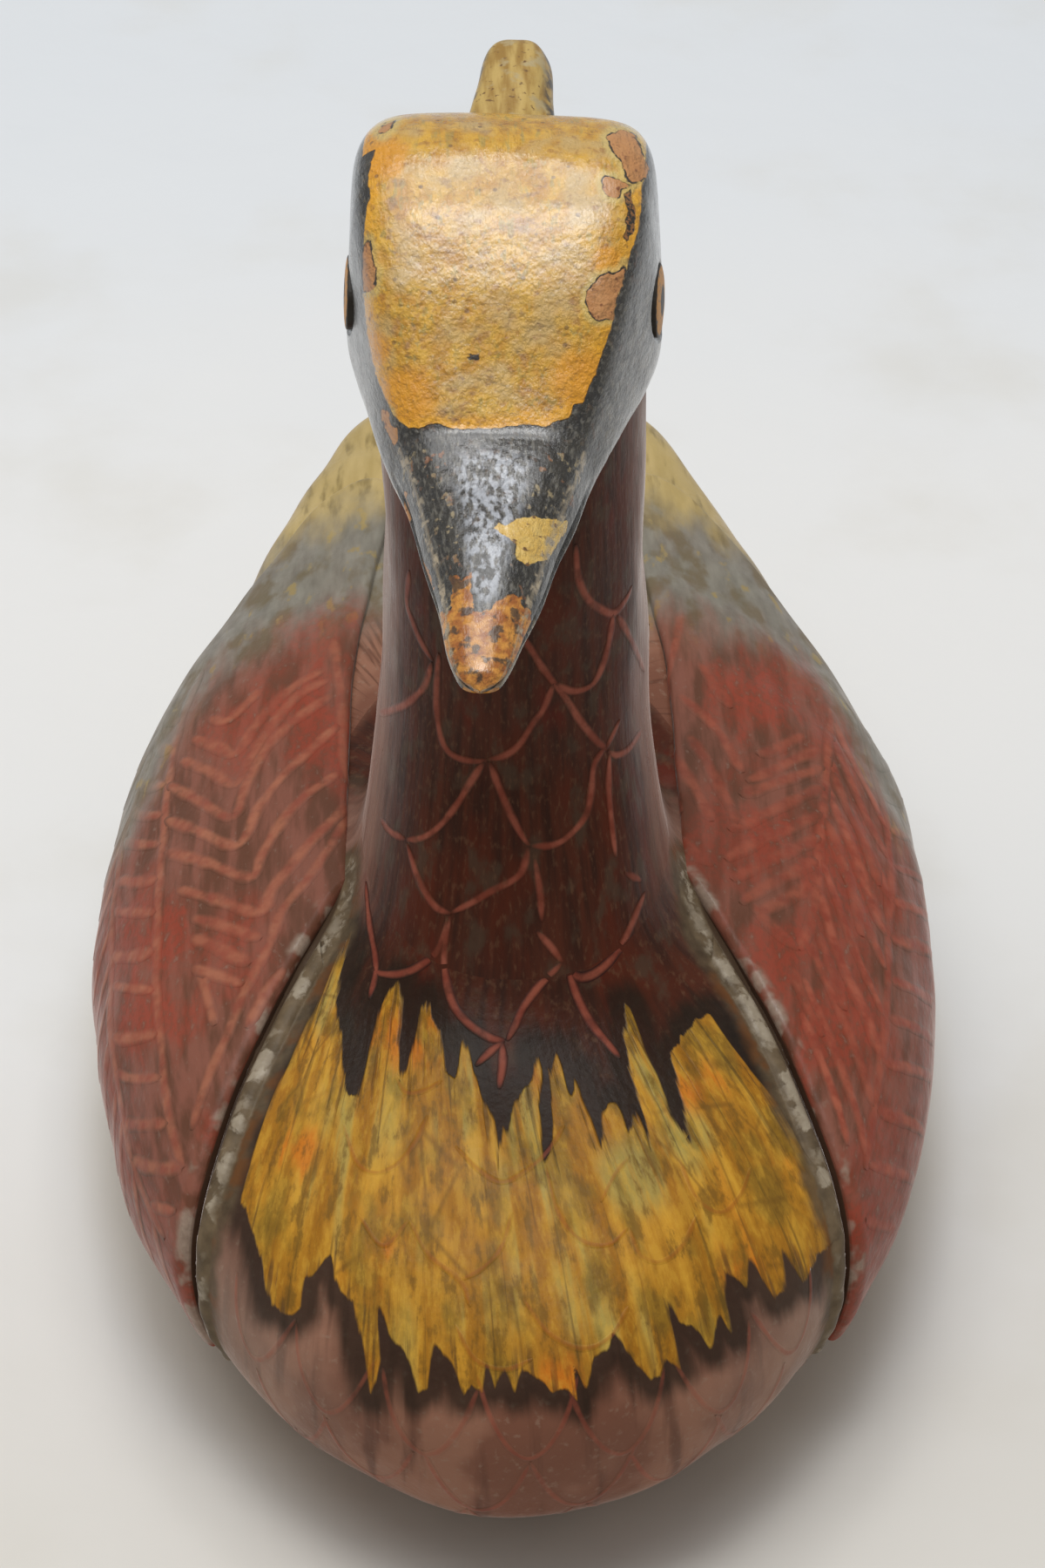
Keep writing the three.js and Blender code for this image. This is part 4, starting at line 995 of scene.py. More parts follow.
def head_finish():
    paint = Finish("head_paint", **HEAD_GLOSS)
    zones = paint.known("zones")
    flakes = paint.known("flakes")
    worn = paint.known("worn")
    crackle = paint.noise(0.55, 1, 4)
    jitter = paint.noise(1.3, 1, 4) - 0.5
    blotch = paint.noise(6, 1, 3)
    middle = paint.noise(2.2, 0.7)
    brushed = paint.noise(0.8, 0.12)
    # Yellow forehead, amber where the varnish gathered towards its edges
    yellow = paint.mix(middle.above(0.35, 0.65), 0xba841c, 0xd6a638)
    yellow = paint.mix(blotch.above(0.46, 0.66), yellow, 0xc2a060)
    yellow = paint.mix(brushed.above(0.5, 0.66) * blotch.above(0.55, 0.42) * 0.6, yellow, 0x9a8c4c)
    amber = (middle * 3.4 + zones[0]).above(4.6, 1.9)
    yellow = paint.mix(amber * 0.9, yellow, 0xe0a014)
    rust = paint.noise(1.6).above(0.57, 0.7)
    yellow = paint.mix(rust * 0.5, yellow, 0x8a5428)
    plum = paint.noise(2.4).above(0.58, 0.72)
    yellow = paint.mix(plum * 0.45, yellow, 0x7d5b4e)
    deep = middle * 0.9 + paint.known("deep")[0]
    yellow = paint.mix(deep.above(0.45, 0.95) * 0.75, yellow, 0xd8900c)
    specks = paint.cells(2.6).above(0.17, 0.08)
    yellow = paint.mix(specks * 0.6, yellow, 0x4d3016)
    # Black sides and bill, with pale scratches along the grain
    grain = paint.noise(0.5, 0.05, 4)
    black = paint.mix(middle.above(0.4, 0.66), 0x1a1712, 0x302c24)
    black = paint.mix(grain.above(0.5, 0.66) * 0.6, black, 0x6e6a60)
    # Pale streaks on the sides of the head, behind the bill
    beside = zones[0].above(-1.5, -4) * paint.place[1].above(*STREAKS_BEHIND)
    streaks = paint.noise(1.3, 0.04, 4).above(0.5, 0.6) * beside
    black = paint.mix(streaks * 0.36, black, 0x9c988f)
    scuffs = paint.noise(1.1, 0.8).above(0.57, 0.66)
    scuff_share = worn[2].above(0, 0.6) * worn[2].above(1, 0.99) * 0.65 + 0.16
    scuff = paint.mix(blotch.above(0.45, 0.55), 0x9a8a68, 0x84512a)
    black = paint.mix(scuffs * scuff_share, black, scuff)
    # Painted highlight: a pale bluish grey streak along the bill's ridge
    ridge_highlight_share = worn[2].above(0.95, 1.5) * paint.noise(0.9, 0.5).above(0.42, 0.6)
    black = paint.mix(ridge_highlight_share * 0.9, black, 0xa9adb5)
    edge = zones[0] + jitter * 0.7
    on_yellow = edge.above(-0.1, 0.1)
    colour = paint.mix(on_yellow, black, yellow)
    # The yellow's underlayer left on the bill, and the bill's bare tip
    patch = (zones[1] + jitter).above(-0.05, 0.12)
    pale = paint.mix(paint.noise(1.5), 0xc4952c, 0xe2c474)
    pale = paint.mix(paint.noise(1.3, 1, 4).above(0.6, 0.68), pale, 0x6d4a1c)
    colour = paint.mix(patch, colour, pale)
    tip = (jitter * 2.1 + zones[2]).above(-0.1, 0.15)
    wood = paint.mix(paint.noise(1.7).above(0.36, 0.64), 0x9a5612, 0xcc8c34)
    pits = paint.noise(1.9).above(0.53, 0.62)
    wood = paint.mix(pits * 0.85, wood, 0x35281a)
    colour = paint.mix(tip, colour, wood)
    # Flakes: a dark broken lip, then the tan ground coat
    flake = flakes[0] + jitter * 0.9
    broken = paint.noise(1.6, 1, 3).above(0.42, 0.52)
    lip = flake.above(-0.16, 0) * flake.above(0.22, 0.08) * broken
    paled = flake.above(-1.2, -0.3) * on_yellow
    colour = paint.mix(paled * 0.6, colour, 0xcdb871)
    tan = paint.mix(paint.noise(3, 1, 3), 0xb27640, 0xc08d58)
    tan = paint.mix(paint.noise(1.1).above(0.58, 0.7), tan, 0x7c4824)
    bare = flake.above(0, 0.16)
    colour = paint.mix(bare, colour, tan)
    colour = paint.mix(lip, colour, 0x2a2115)
    strip = (flakes[1] + jitter).above(0, 0.2)
    colour = paint.mix(strip, colour, paint.mix(crackle.above(0.45, 0.55), 0x241d14, 0x8a5a2a))
    pit = (flakes[2] + jitter * 3).above(0, 0.3)
    colour = paint.mix(pit, colour, 0x2b2013)
    edges = worn[0].above(0.3, 0.7) * paint.noise(1.8, 1, 3).above(0.47, 0.6)
    edges |= worn[0].above(0.7, 1.2) * 0.8
    colour = paint.mix(edges, colour, paint.mix(paint.noise(2.5, 1, 3), 0x8d7c62, 0xb9ab92))
    seam = worn[1].above(0.3, 0.7)
    colour = paint.mix(seam, colour, 0x17140f)
    dents = paint.noise(3.2, 0.8, 3) * paint.blend(on_yellow, 1, 2.6)
    relief = crackle * 0.9 + middle * 1.6 + dents + paint.noise(1, 0.4, 3) * 1.1 + grain * 0.4
    for mask, drop in ((bare, -0.6), (strip, -0.7), (pit, -1.0), (tip, -0.2), (on_yellow, 0.35)):
        relief += mask * drop
    # Old varnish: scratched along the head and pitted, so that its highlight breaks up
    varnish = paint.noise(0.55, 0.3) * 1.2 + paint.noise(2.6, 1, 4) * 1.8
    paint.emboss("Coat Normal", varnish, HEAD_COAT_DEPTH)
    rough = paint.noise(2.2).above(0.32, 0.7)
    rough = paint.blend(on_yellow, paint.blend(rough, 0.12, 0.34), paint.blend(rough, 0.16, 0.5))
    rough = paint.blend(bare | strip | tip, rough, 0.68)
    return paint.finish(colour, relief, 0.36, rough)


def crest_finish():
    paint = Finish("crest_paint", **CREST_GLOSS)
    streak = paint.noise(1.4, 0.15)
    colour = paint.mix(streak.above(0.35, 0.65), 0x94712e, 0xbb9e5a)
    colour = paint.mix(paint.noise(3, 1, 4).above(0.52, 0.66), colour, 0xac9a70)
    colour = paint.mix(paint.noise(0.9).above(0.6, 0.72), colour, 0x6b4d24)
    side = abs(paint.known("side")[0])
    colour = paint.mix(side.above(0.7, 0.95) * paint.noise(2.5, 1, 3).above(0.4, 0.55), colour,
                       0x4a4136)
    relief = streak * 0.8 + paint.noise(0.5, 1, 3) * 0.5
    return paint.finish(colour, relief, 0.14)


def eye_finish():
    paint = Finish("eye_paint", **EYE_GLOSS)
    ring = paint.noise(1.2, 1, 3) * 0.16 - 0.08 + paint.known("boss")[0]
    colour = paint.mix(paint.noise(1.3, 1, 4), 0xb8761c, 0xd2963a)
    colour = paint.mix(paint.noise(0.6, (0.2, 1, 1), 4).above(0.56, 0.66), colour, 0x6d6250)
    colour = paint.mix(ring.above(0.45, 0.39), colour, 0x14110d)
    colour = paint.mix(ring.above(0.9, 0.97), colour, 0x2a241c)
    return paint.finish(colour, paint.noise(0.6, 1, 3), 0.08)


def bare_wood_finish():
    paint = Finish("bare_wood", **MATT)
    rings = paint.noise(1.2, (1, 1, 0.1))
    colour = paint.mix(rings.above(0.35, 0.65), 0xa77c50, 0xc49c6c)
    return paint.finish(colour, rings, 0.1)


# Floor: its colours from near to far, and painted warm light reflected from the duck round it
FLOOR_NEAR = 0xdbd8d1
FLOOR_MIDDLE = 0xe5e5e4
FLOOR_FAR = 0xdde1e5
FLOOR_STAIN = 0xcfcabd
FLOOR_PAINTED_BOUNCE = 0xd9ccae
FLOOR_PAINTED_BOUNCE_SHAPE = (1.5, 1, 1)
FLOOR_PAINTED_BOUNCE_EDGE = (108, 92)
FLOOR_MIDDLE_FROM = (-60, 90)
FLOOR_FAR_FROM = (150, 380)


def floor_finish():
    paint = Finish("floor", **MATT)
    along = paint.noise(90, 1, 3) * 120 + paint.place[1]
    stain = paint.noise(60).above(0.5, 0.72)
    colour = paint.mix(along.above(*FLOOR_MIDDLE_FROM), FLOOR_NEAR, FLOOR_MIDDLE)
    colour = paint.mix(along.above(*FLOOR_FAR_FROM), colour, FLOOR_FAR)
    colour = paint.mix(stain * 0.3, colour, FLOOR_STAIN)
    # Painted reflection: the floor round the duck is painted warmer
    from_duck = paint.node("ShaderNodeVectorMath", operation="LENGTH")
    paint.put(from_duck.inputs[0], paint.times(paint.place, FLOOR_PAINTED_BOUNCE_SHAPE))
    painted_bounce = Value(paint, from_duck.outputs["Value"]).above(*FLOOR_PAINTED_BOUNCE_EDGE)
    colour = paint.mix(painted_bounce * 0.3, colour, FLOOR_PAINTED_BOUNCE)
    return paint.finish(colour, paint.noise(30, 1, 4), 1)


def flow_places(points):
    """How far round the breast and how far down it a point lies, in millimetres, along the fan of
    its brush strokes."""
    away = points - FLOW_CENTRE
    level = np.hypot(away[..., 0], away[..., 1])
    azimuth = np.arctan2(away[..., 0], -away[..., 1])
    return np.stack([azimuth * FLOW_RADIUS, np.arctan2(away[..., 2], level) * FLOW_RADIUS], -1)


PATCH_BEHIND_BREAST = 78
# Where the breast's yellow turns orange and where it turns olive: x, y and radius in the photograph
ORANGE_SPOTS = [(447, 1185, 48), (478, 1205, 34), (492, 1175, 26), (855, 1455, 45), (640, 1590, 42),
                (800, 1250, 38), (345, 1320, 34), (962, 1392, 26), (437, 1430, 26)]
OLIVE_SPOTS = [(640, 1440, 95), (730, 1350, 80), (790, 1300, 60), (560, 1500, 70), (520, 1290, 40),
               (690, 1500, 80)]
# Where the forehead's yellow is deepest
AMBER_SPOTS = [(468, 455, 44), (668, 436, 46), (440, 180, 34), (428, 400, 26), (700, 300, 24),
               (425, 300, 18)]
# Where the bead ahead of the wings is painted pale: worn paint, and painted highlights where it
# catches the light
BEAD_WEAR_AND_GLINT_SPOTS = [(340, 1127, 18), (300, 1223, 24), (273, 1290, 12), (265, 1343, 24), (257, 1392, 18),
              (356, 1075, 13), (370, 1085, 12), (403, 1005, 16), (830, 1113, 18), (862, 1160, 26),
              (880, 1188, 16), (915, 1245, 24), (925, 1278, 20), (785, 1000, 18), (806, 1022, 18),
              (238, 1480, 14), (946, 1350, 14)]
# Where the wings are reddest
RED_WASHES = [(372, 830, 75), (185, 1080, 62), (176, 1160, 60), (865, 800, 60), (880, 960, 60),
              (965, 1000, 70), (950, 1180, 85), (900, 1100, 60), (985, 1400, 50)]


def patch_margin(points, normals):
    """Distance inside the breast's yellow, negative outside it and on what the photograph hides."""
    margin = outline_margin(to_photo(points), BREAST_PATCH_TOP + BREAST_PATCH_FOOT)
    hidden = facing_camera(points, normals) < 0.02
    hidden |= points[..., 1] > PATCH_BEHIND_BREAST - BODY_LENGTH / 2
    zones = [glow(points, ORANGE_SPOTS), glow(points, OLIVE_SPOTS)]
    return np.stack([np.where(hidden, -30, margin), *zones], -1)


def body_ground(points, normals):
    return {"flow": flow_places(points), "patch": patch_margin(points, normals)}


def body_stroke_ground(points, normals):
    return {"edge": np.full(points.shape, [FAR_AHEAD, -1.0, -1.0]), **body_ground(points, normals)}


def turn_about_neck(points):
    _, _, middle = neck_section(np.clip(points[..., 2], NECK_JOINT_HEIGHT, NECK_TOP_HEIGHT))
    return np.arctan2(points[..., 0], middle - points[..., 1])


def neck_ground(points, normals):
    flow = np.stack([turn_about_neck(points) * FLOW_RADIUS / 2, points[..., 2]], -1)
    return {"flow": flow, "patch": patch_margin(points, normals)}


def bead_height(ahead):
    radius = SHOULDER_BEAD / 2
    offset = np.clip(np.abs(ahead - WING_GROOVE - radius), 0, radius)
    return np.maximum(SHOULDER_BEAD_PROUD - radius + np.sqrt(radius**2 - offset**2), 0)


# Body, its neck root and the neck
NECK_COLUMNS = 220
NECK_ROWS = 130
ROOT_ROWS = 56
ROOT_POWERS = (2.0, 8.0)
BODY_COLUMNS = 440
FRONT_ROWS = 150
BAND_ROWS = 52
REAR_ROWS = 120
BAND_AHEAD = 12
BAND_BEHIND = 4
WING_GIRTH = 52
# How the rows crowd towards the tail, and where the edge of the pocket and of the groove fall
REAR_CROWDING = 1.4
WING_END_FADE = 0.012
GROOVE_WALL = (WING_GROOVE - 0.35, WING_GROOVE + 0.05)
POCKET_WALL = (0.3, 1.2)
# The bead is worn down unevenly: its least share, the wear's swing and its waves down the wing
BEAD_LEAST = 0.85
BEAD_SWING = 0.2
BEAD_WAVES = (41, 17)
# What the paint takes for the distance ahead of the wings where it doesn't count
FAR_AHEAD = 50.0
# The root leaves the joint at the neck's slope, which is taken over a short height, and is at
# first turned outward as the neck is. It stands a little over the body's skin and ends a little
# under it, and the skin is left out beneath it. Most of these are shares of its reach.
ROOT_PROBE = 0.3
ROOT_LEAST_FLARE = 0.05
ROOT_LEAVING = 0.2
ROOT_LIFT = 0.06
ROOT_SINK = -0.35
ROOT_SINKS_FROM = 1.02
ROOT_SINK_FULL = 0.3
ROOT_PAINT_ENDS = (0.62, 0.92)
ROOT_COVERS = 0.95
ROOT_COVERS_DOWN = 8


def body_grid():
    """Places of the body's points, in rows that bend with the wings' leading edges."""
    angle = np.linspace(0, 2 * math.pi, BODY_COLUMNS, endpoint=False) - math.pi / 2
    folded = np.where(np.cos(angle) >= 0, angle, math.pi - angle)
    folded = np.where(folded > math.pi, folded - 2 * math.pi, folded)
    down = (WING_SHOULDER_ANGLE - folded) / (WING_SHOULDER_ANGLE - WING_CORNER_ANGLE)
    lead, _ = wing_place(0, np.clip(down, -0.05, 1))
    swing = np.arccos(1 - (lead - BAND_AHEAD) / WIDEST_FROM_BREAST)
    share = np.linspace(0, 1, FRONT_ROWS, endpoint=False)[:, None]
    front = WIDEST_FROM_BREAST * (1 - np.cos(share * swing))
    band = lead + np.linspace(-BAND_AHEAD, BAND_BEHIND, BAND_ROWS, endpoint=False)[:, None]
    share = 1 - (1 - np.linspace(0, 1, REAR_ROWS)[:, None]) ** REAR_CROWDING
    rear = lerp(lead + BAND_BEHIND, BODY_LENGTH, share)
    rows = np.maximum(np.concatenate([front, band, rear]), BREAST_START)
    return rows, np.broadcast_to(angle, rows.shape), np.broadcast_to(folded, rows.shape)


def skin_height(points):
    """Height of the body's upper skin over or under points."""
    from_front = np.clip(points[..., 1] + BODY_LENGTH / 2, BREAST_START, None)
    half, back, _, flank = body_section(from_front)
    inside = np.clip(1 - np.abs(points[..., 0] / half) ** BODY_EXPONENT, 0, 1)
    return flank + (back - flank) * inside ** (1 / BODY_EXPONENT)


def root_reach(points):
    """How far out a point lies as a share of the neck root's run-out ring."""
    half, depth, middle = neck_section(NECK_RUNOUT_HEIGHT)
    across = np.abs(points[..., 0] / half) ** NECK_EXPONENT
    along = np.abs((points[..., 1] - middle) / depth) ** NECK_EXPONENT
    return (across + along) ** (1 / NECK_EXPONENT)


def make_body():
    from_front, angle, folded = body_grid()
    points = skin(from_front, angle)
    normals = skin_normal(from_front, angle)
    along, down = wing_share(from_front, folded)
    ahead = ahead_of_lead(points, along)
    between = smooth(down, -WING_END_FADE, 0) * (1 - smooth(down, 1, 1 + WING_END_FADE))
    wall = smooth(ahead, *GROOVE_WALL)
    waves = np.sin(down * BEAD_WAVES[0]) * np.sin(down * BEAD_WAVES[1] + 1)
    worn = BEAD_LEAST + BEAD_SWING * waves
    beside = between * smooth(ahead, 0, 0.01)
    groove = beside * (1 - wall) * -GROOVE_DEPTH + beside * wall * bead_height(ahead) * worn
    _, upper = wing_place(np.clip(along, 0, 1), 0)
    _, lower = wing_place(np.clip(along, 0, 1), 1)
    girth = (upper - lower) * WING_GIRTH
    lead, _ = wing_place(0, np.clip(down, 0, 1))
    end, _ = wing_place(1, np.clip(down, 0, 1))
    inset = np.minimum(np.minimum(down, 1 - down) * girth, (1 - along) * (end - lead))
    pocket = np.where(ahead <= 0, -POCKET_DEPTH * smooth(inset, *POCKET_WALL), 0)
    shift = np.where(ahead > 0, groove, pocket) + waver(points)
    points = points + normals * shift[..., None]
    points[..., 2] = np.maximum(points[..., 2], 0)

    piece = Carving()
    faces = grid_faces(*from_front.shape, closed=True)
    reach = root_reach(points).ravel()
    low = points[..., 2].ravel() < NECK_RUNOUT_HEIGHT - ROOT_COVERS_DOWN
    faces = faces[((reach > ROOT_COVERS) | low)[faces].any(1)]
    edge = np.stack([ahead, along, down], -1)
    spots = glow(points, BEAD_WEAR_AND_GLINT_SPOTS) * (facing_camera(points, normals) > 0)
    piece.add(points, faces, normals, edge=edge, spots=spots, **body_ground(points, normals))
    for row, toward in ((0, -1), (-1, 1)):
        ring = points[row]
        middle = ring.mean(0) + [0, toward * 0.02, 0]
        cap = np.concatenate([ring, middle[None]])
        count = len(ring)
        outward = np.tile([0.0, toward, 0.0], (count + 1, 1))
        piece.add(cap, fan(count), outward, edge=np.full((count + 1, 3), FAR_AHEAD),
                  **body_ground(cap, outward))

    # The root that flares from the neck's joint into the breast: it leaves the joint at the neck's
    # own slope and dies out in the body's skin
    share = np.linspace(0, 1, ROOT_ROWS)[:, None]
    turn = full_turn(NECK_COLUMNS)
    inner = neck_point(NECK_JOINT_HEIGHT, turn)
    outer = neck_point(NECK_RUNOUT_HEIGHT, turn)
    _, _, middle = neck_section(NECK_RUNOUT_HEIGHT)
    outer = [0, middle, 0] + (outer - [0, middle, 0]) * ROOT_SKIRT
    flat = lerp(inner, outer, share[..., None])
    ground = skin_height(flat)
    reach_out = (outer - inner)[..., :2]
    width = np.linalg.norm(reach_out, axis=-1)
    rising = (neck_point(NECK_JOINT_HEIGHT + ROOT_PROBE, turn) - inner)[..., :2]
    flare = -(rising * reach_out).sum(-1) / width / ROOT_PROBE
    flare = np.maximum(flare, ROOT_LEAST_FLARE)
    fall = (ground[1] - ground[0]) / share[1]
    above = NECK_JOINT_HEIGHT - ground[:1]
    power = np.clip((width / flare + fall) / above, *ROOT_POWERS)
    ending = smooth(root_reach(flat), ROOT_SINKS_FROM, ROOT_SKIRT)
    sink = lerp(ROOT_LIFT, ROOT_SINK, ending) * smooth(share, 0, ROOT_SINK_FULL)
    flat[..., 2] = ground + above * (1 - share) ** power + sink
    rows_apart = np.gradient(flat, axis=0)
    columns_apart = np.roll(flat, -1, 1) - np.roll(flat, 1, 1)
    up = unit(np.cross(columns_apart, -rows_apart))
    up *= np.sign(up[..., 2:] + 1e-9)
    leaving = 1 - smooth(share, 0, ROOT_LEAVING)[..., None]
    outward = lerp(up, neck_outward(NECK_JOINT_HEIGHT + 0 * share, turn), leaving)
    points = flat + unit(outward) * waver(flat)[..., None]
    down_root = np.concatenate([np.zeros((1, NECK_COLUMNS)),
                                np.linalg.norm(np.diff(points, axis=0), axis=-1).cumsum(0)])
    root_flow = np.stack([turn_about_neck(points) * FLOW_RADIUS / 2, NECK_JOINT_HEIGHT - down_root,
                          1 - smooth(share + 0 * turn, *ROOT_PAINT_ENDS)], -1)
    near = np.full(points.shape, -1.0)
    near[..., 0] = ahead_of_lead(points, -np.ones(points.shape[:2]))
    piece.add(points, grid_faces(ROOT_ROWS, NECK_COLUMNS, closed=True), up, edge=near,
              root_flow=root_flow, **body_ground(points, up))
    return piece


def make_neck():
    height = np.linspace(NECK_JOINT_HEIGHT, NECK_TOP_HEIGHT, NECK_ROWS)[:, None]
    turn = full_turn(NECK_COLUMNS)
    height, turn = np.broadcast_arrays(height, turn)
    outward = neck_outward(height, turn)
    points = neck_point(height, turn)
    points = points + outward * waver(points)[..., None]
    piece = Carving()
    piece.add(points, grid_faces(NECK_ROWS, NECK_COLUMNS, closed=True), outward,
              **neck_ground(points, outward))
    return piece


# Head
HEAD_ROWS = 300
HEAD_COLUMNS = 300
DOME_ROWS = 10
RING_FINE = 1441
# How much fuller the head is on its right and on its left
HEAD_FULLER = (0.035, 0.012)
# Where the yellow runs behind the crown's horizon, from the bill's tip and to each side
HORIZON_FROM_TIP = 74
NAPE_YELLOW = 89
CROWN_REACH = 18
# From where on the head is that much fuller, and where its hand-carved unevenness is full
FULLER_FROM_TIP = (30, 52)
UNEVEN_FROM_TIP = (1, 12)
# The worn ridges of the bill, as heights in its section: the middle and width of the upper one,
# the width of the one under the mouth, and how much harder that one is worn
BILL_RIDGE = (0.35, 0.16)
MOUTH_RIDGE_WIDTH = 0.11
MOUTH_RIDGE_WEAR = 1.3
# The painted highlight along the back of the bill: where it starts and ends, and how it widens
# behind the tip
RIDGE_HIGHLIGHT_START = (10, 16)
RIDGE_HIGHLIGHT_END = (33, 38)
RIDGE_HIGHLIGHT_WIDTHS = (2.4, 6.5)
RIDGE_HIGHLIGHT_WIDENS = (12, 40)
# Bare wood at the tip, where the photograph doesn't show it
BARE_TIP = 1.5
# Margin of what lies well outside a zone
OUTSIDE = -9
# A pit in the forehead and rubbed places on the bill, in the photograph's pixels. The pit is
# wider than high.
PIT = (541, 410)
PIT_STRETCH = 1.9
PIT_SIZE = 0.9
PIT_STEEPNESS = 1.4
BILL_SCUFFS = [(652, 540, 60), (470, 520, 40)]


def head_section(from_tip):
    share = from_tip / HEAD_LENGTH
    crown = HEAD_HEIGHT * HEAD_CROWN(share)
    throat = -BILL_DROP * HEAD_THROAT(share)
    return {"half": HEAD_WIDTH / 2 * HEAD_PLAN(share), "middle": (crown + throat) / 2,
            "rise": (crown - throat) / 2, "exponent": HEAD_EXPONENT(share),
            "narrowing": HEAD_NARROWING(share), "y": from_tip - HEAD_LENGTH + NAPE_BEHIND_AXIS}


def on_head(section, across, up):
    width = section["half"] * (1 - section["narrowing"] * (0.5 + 0.5 * up))
    height = section["middle"] + section["rise"] * up
    return np.stack(np.broadcast_arrays(width * across, section["y"], height), -1)


def head_side(from_tip, height):
    section = head_section(from_tip)
    up = (height - section["middle"]) / section["rise"]
    exponent = section["exponent"]
    return on_head(section, (1 - np.abs(up) ** exponent) ** (1 / exponent), up)


def to_world(points):
    """From the head's own frame to the duck's. The head is a little fuller on its right."""
    full = smooth(points[..., 1] + HEAD_LENGTH - NAPE_BEHIND_AXIS, *FULLER_FROM_TIP)
    wide = 1 + full * np.where(points[..., 0] < 0, *HEAD_FULLER)
    c, s = math.cos(-HEAD_TURN), math.sin(-HEAD_TURN)
    x = points[..., 0] * wide * c - points[..., 1] * s - HEAD_SIDE_STEP
    _, _, middle = neck_section(NECK_TOP_HEIGHT)
    y = points[..., 0] * wide * s + points[..., 1] * c + middle
    return np.stack([x, y, points[..., 2] + NECK_TOP_HEIGHT + HEAD_SEAT_CLEARANCE], -1)


def world_direction(vectors):
    return to_world(vectors) - to_world(np.zeros(3))


def eye_frame(side):
    """Centre of an eye and its axes, along the head, outward and upward, in the head's frame."""
    flip = np.array([side, 1, 1])
    at = head_side(EYE_FROM_TIP, EYE_LEVEL) * flip
    ahead, behind = (head_side(EYE_FROM_TIP + step, EYE_LEVEL) for step in EYE_PROBE)
    under, over = (head_side(EYE_FROM_TIP, EYE_LEVEL + step) for step in EYE_PROBE)
    along = unit((behind - ahead) * flip)
    outward = unit(np.cross(along, (over - under) * flip)) * side
    return at, along, outward, np.cross(along, outward)


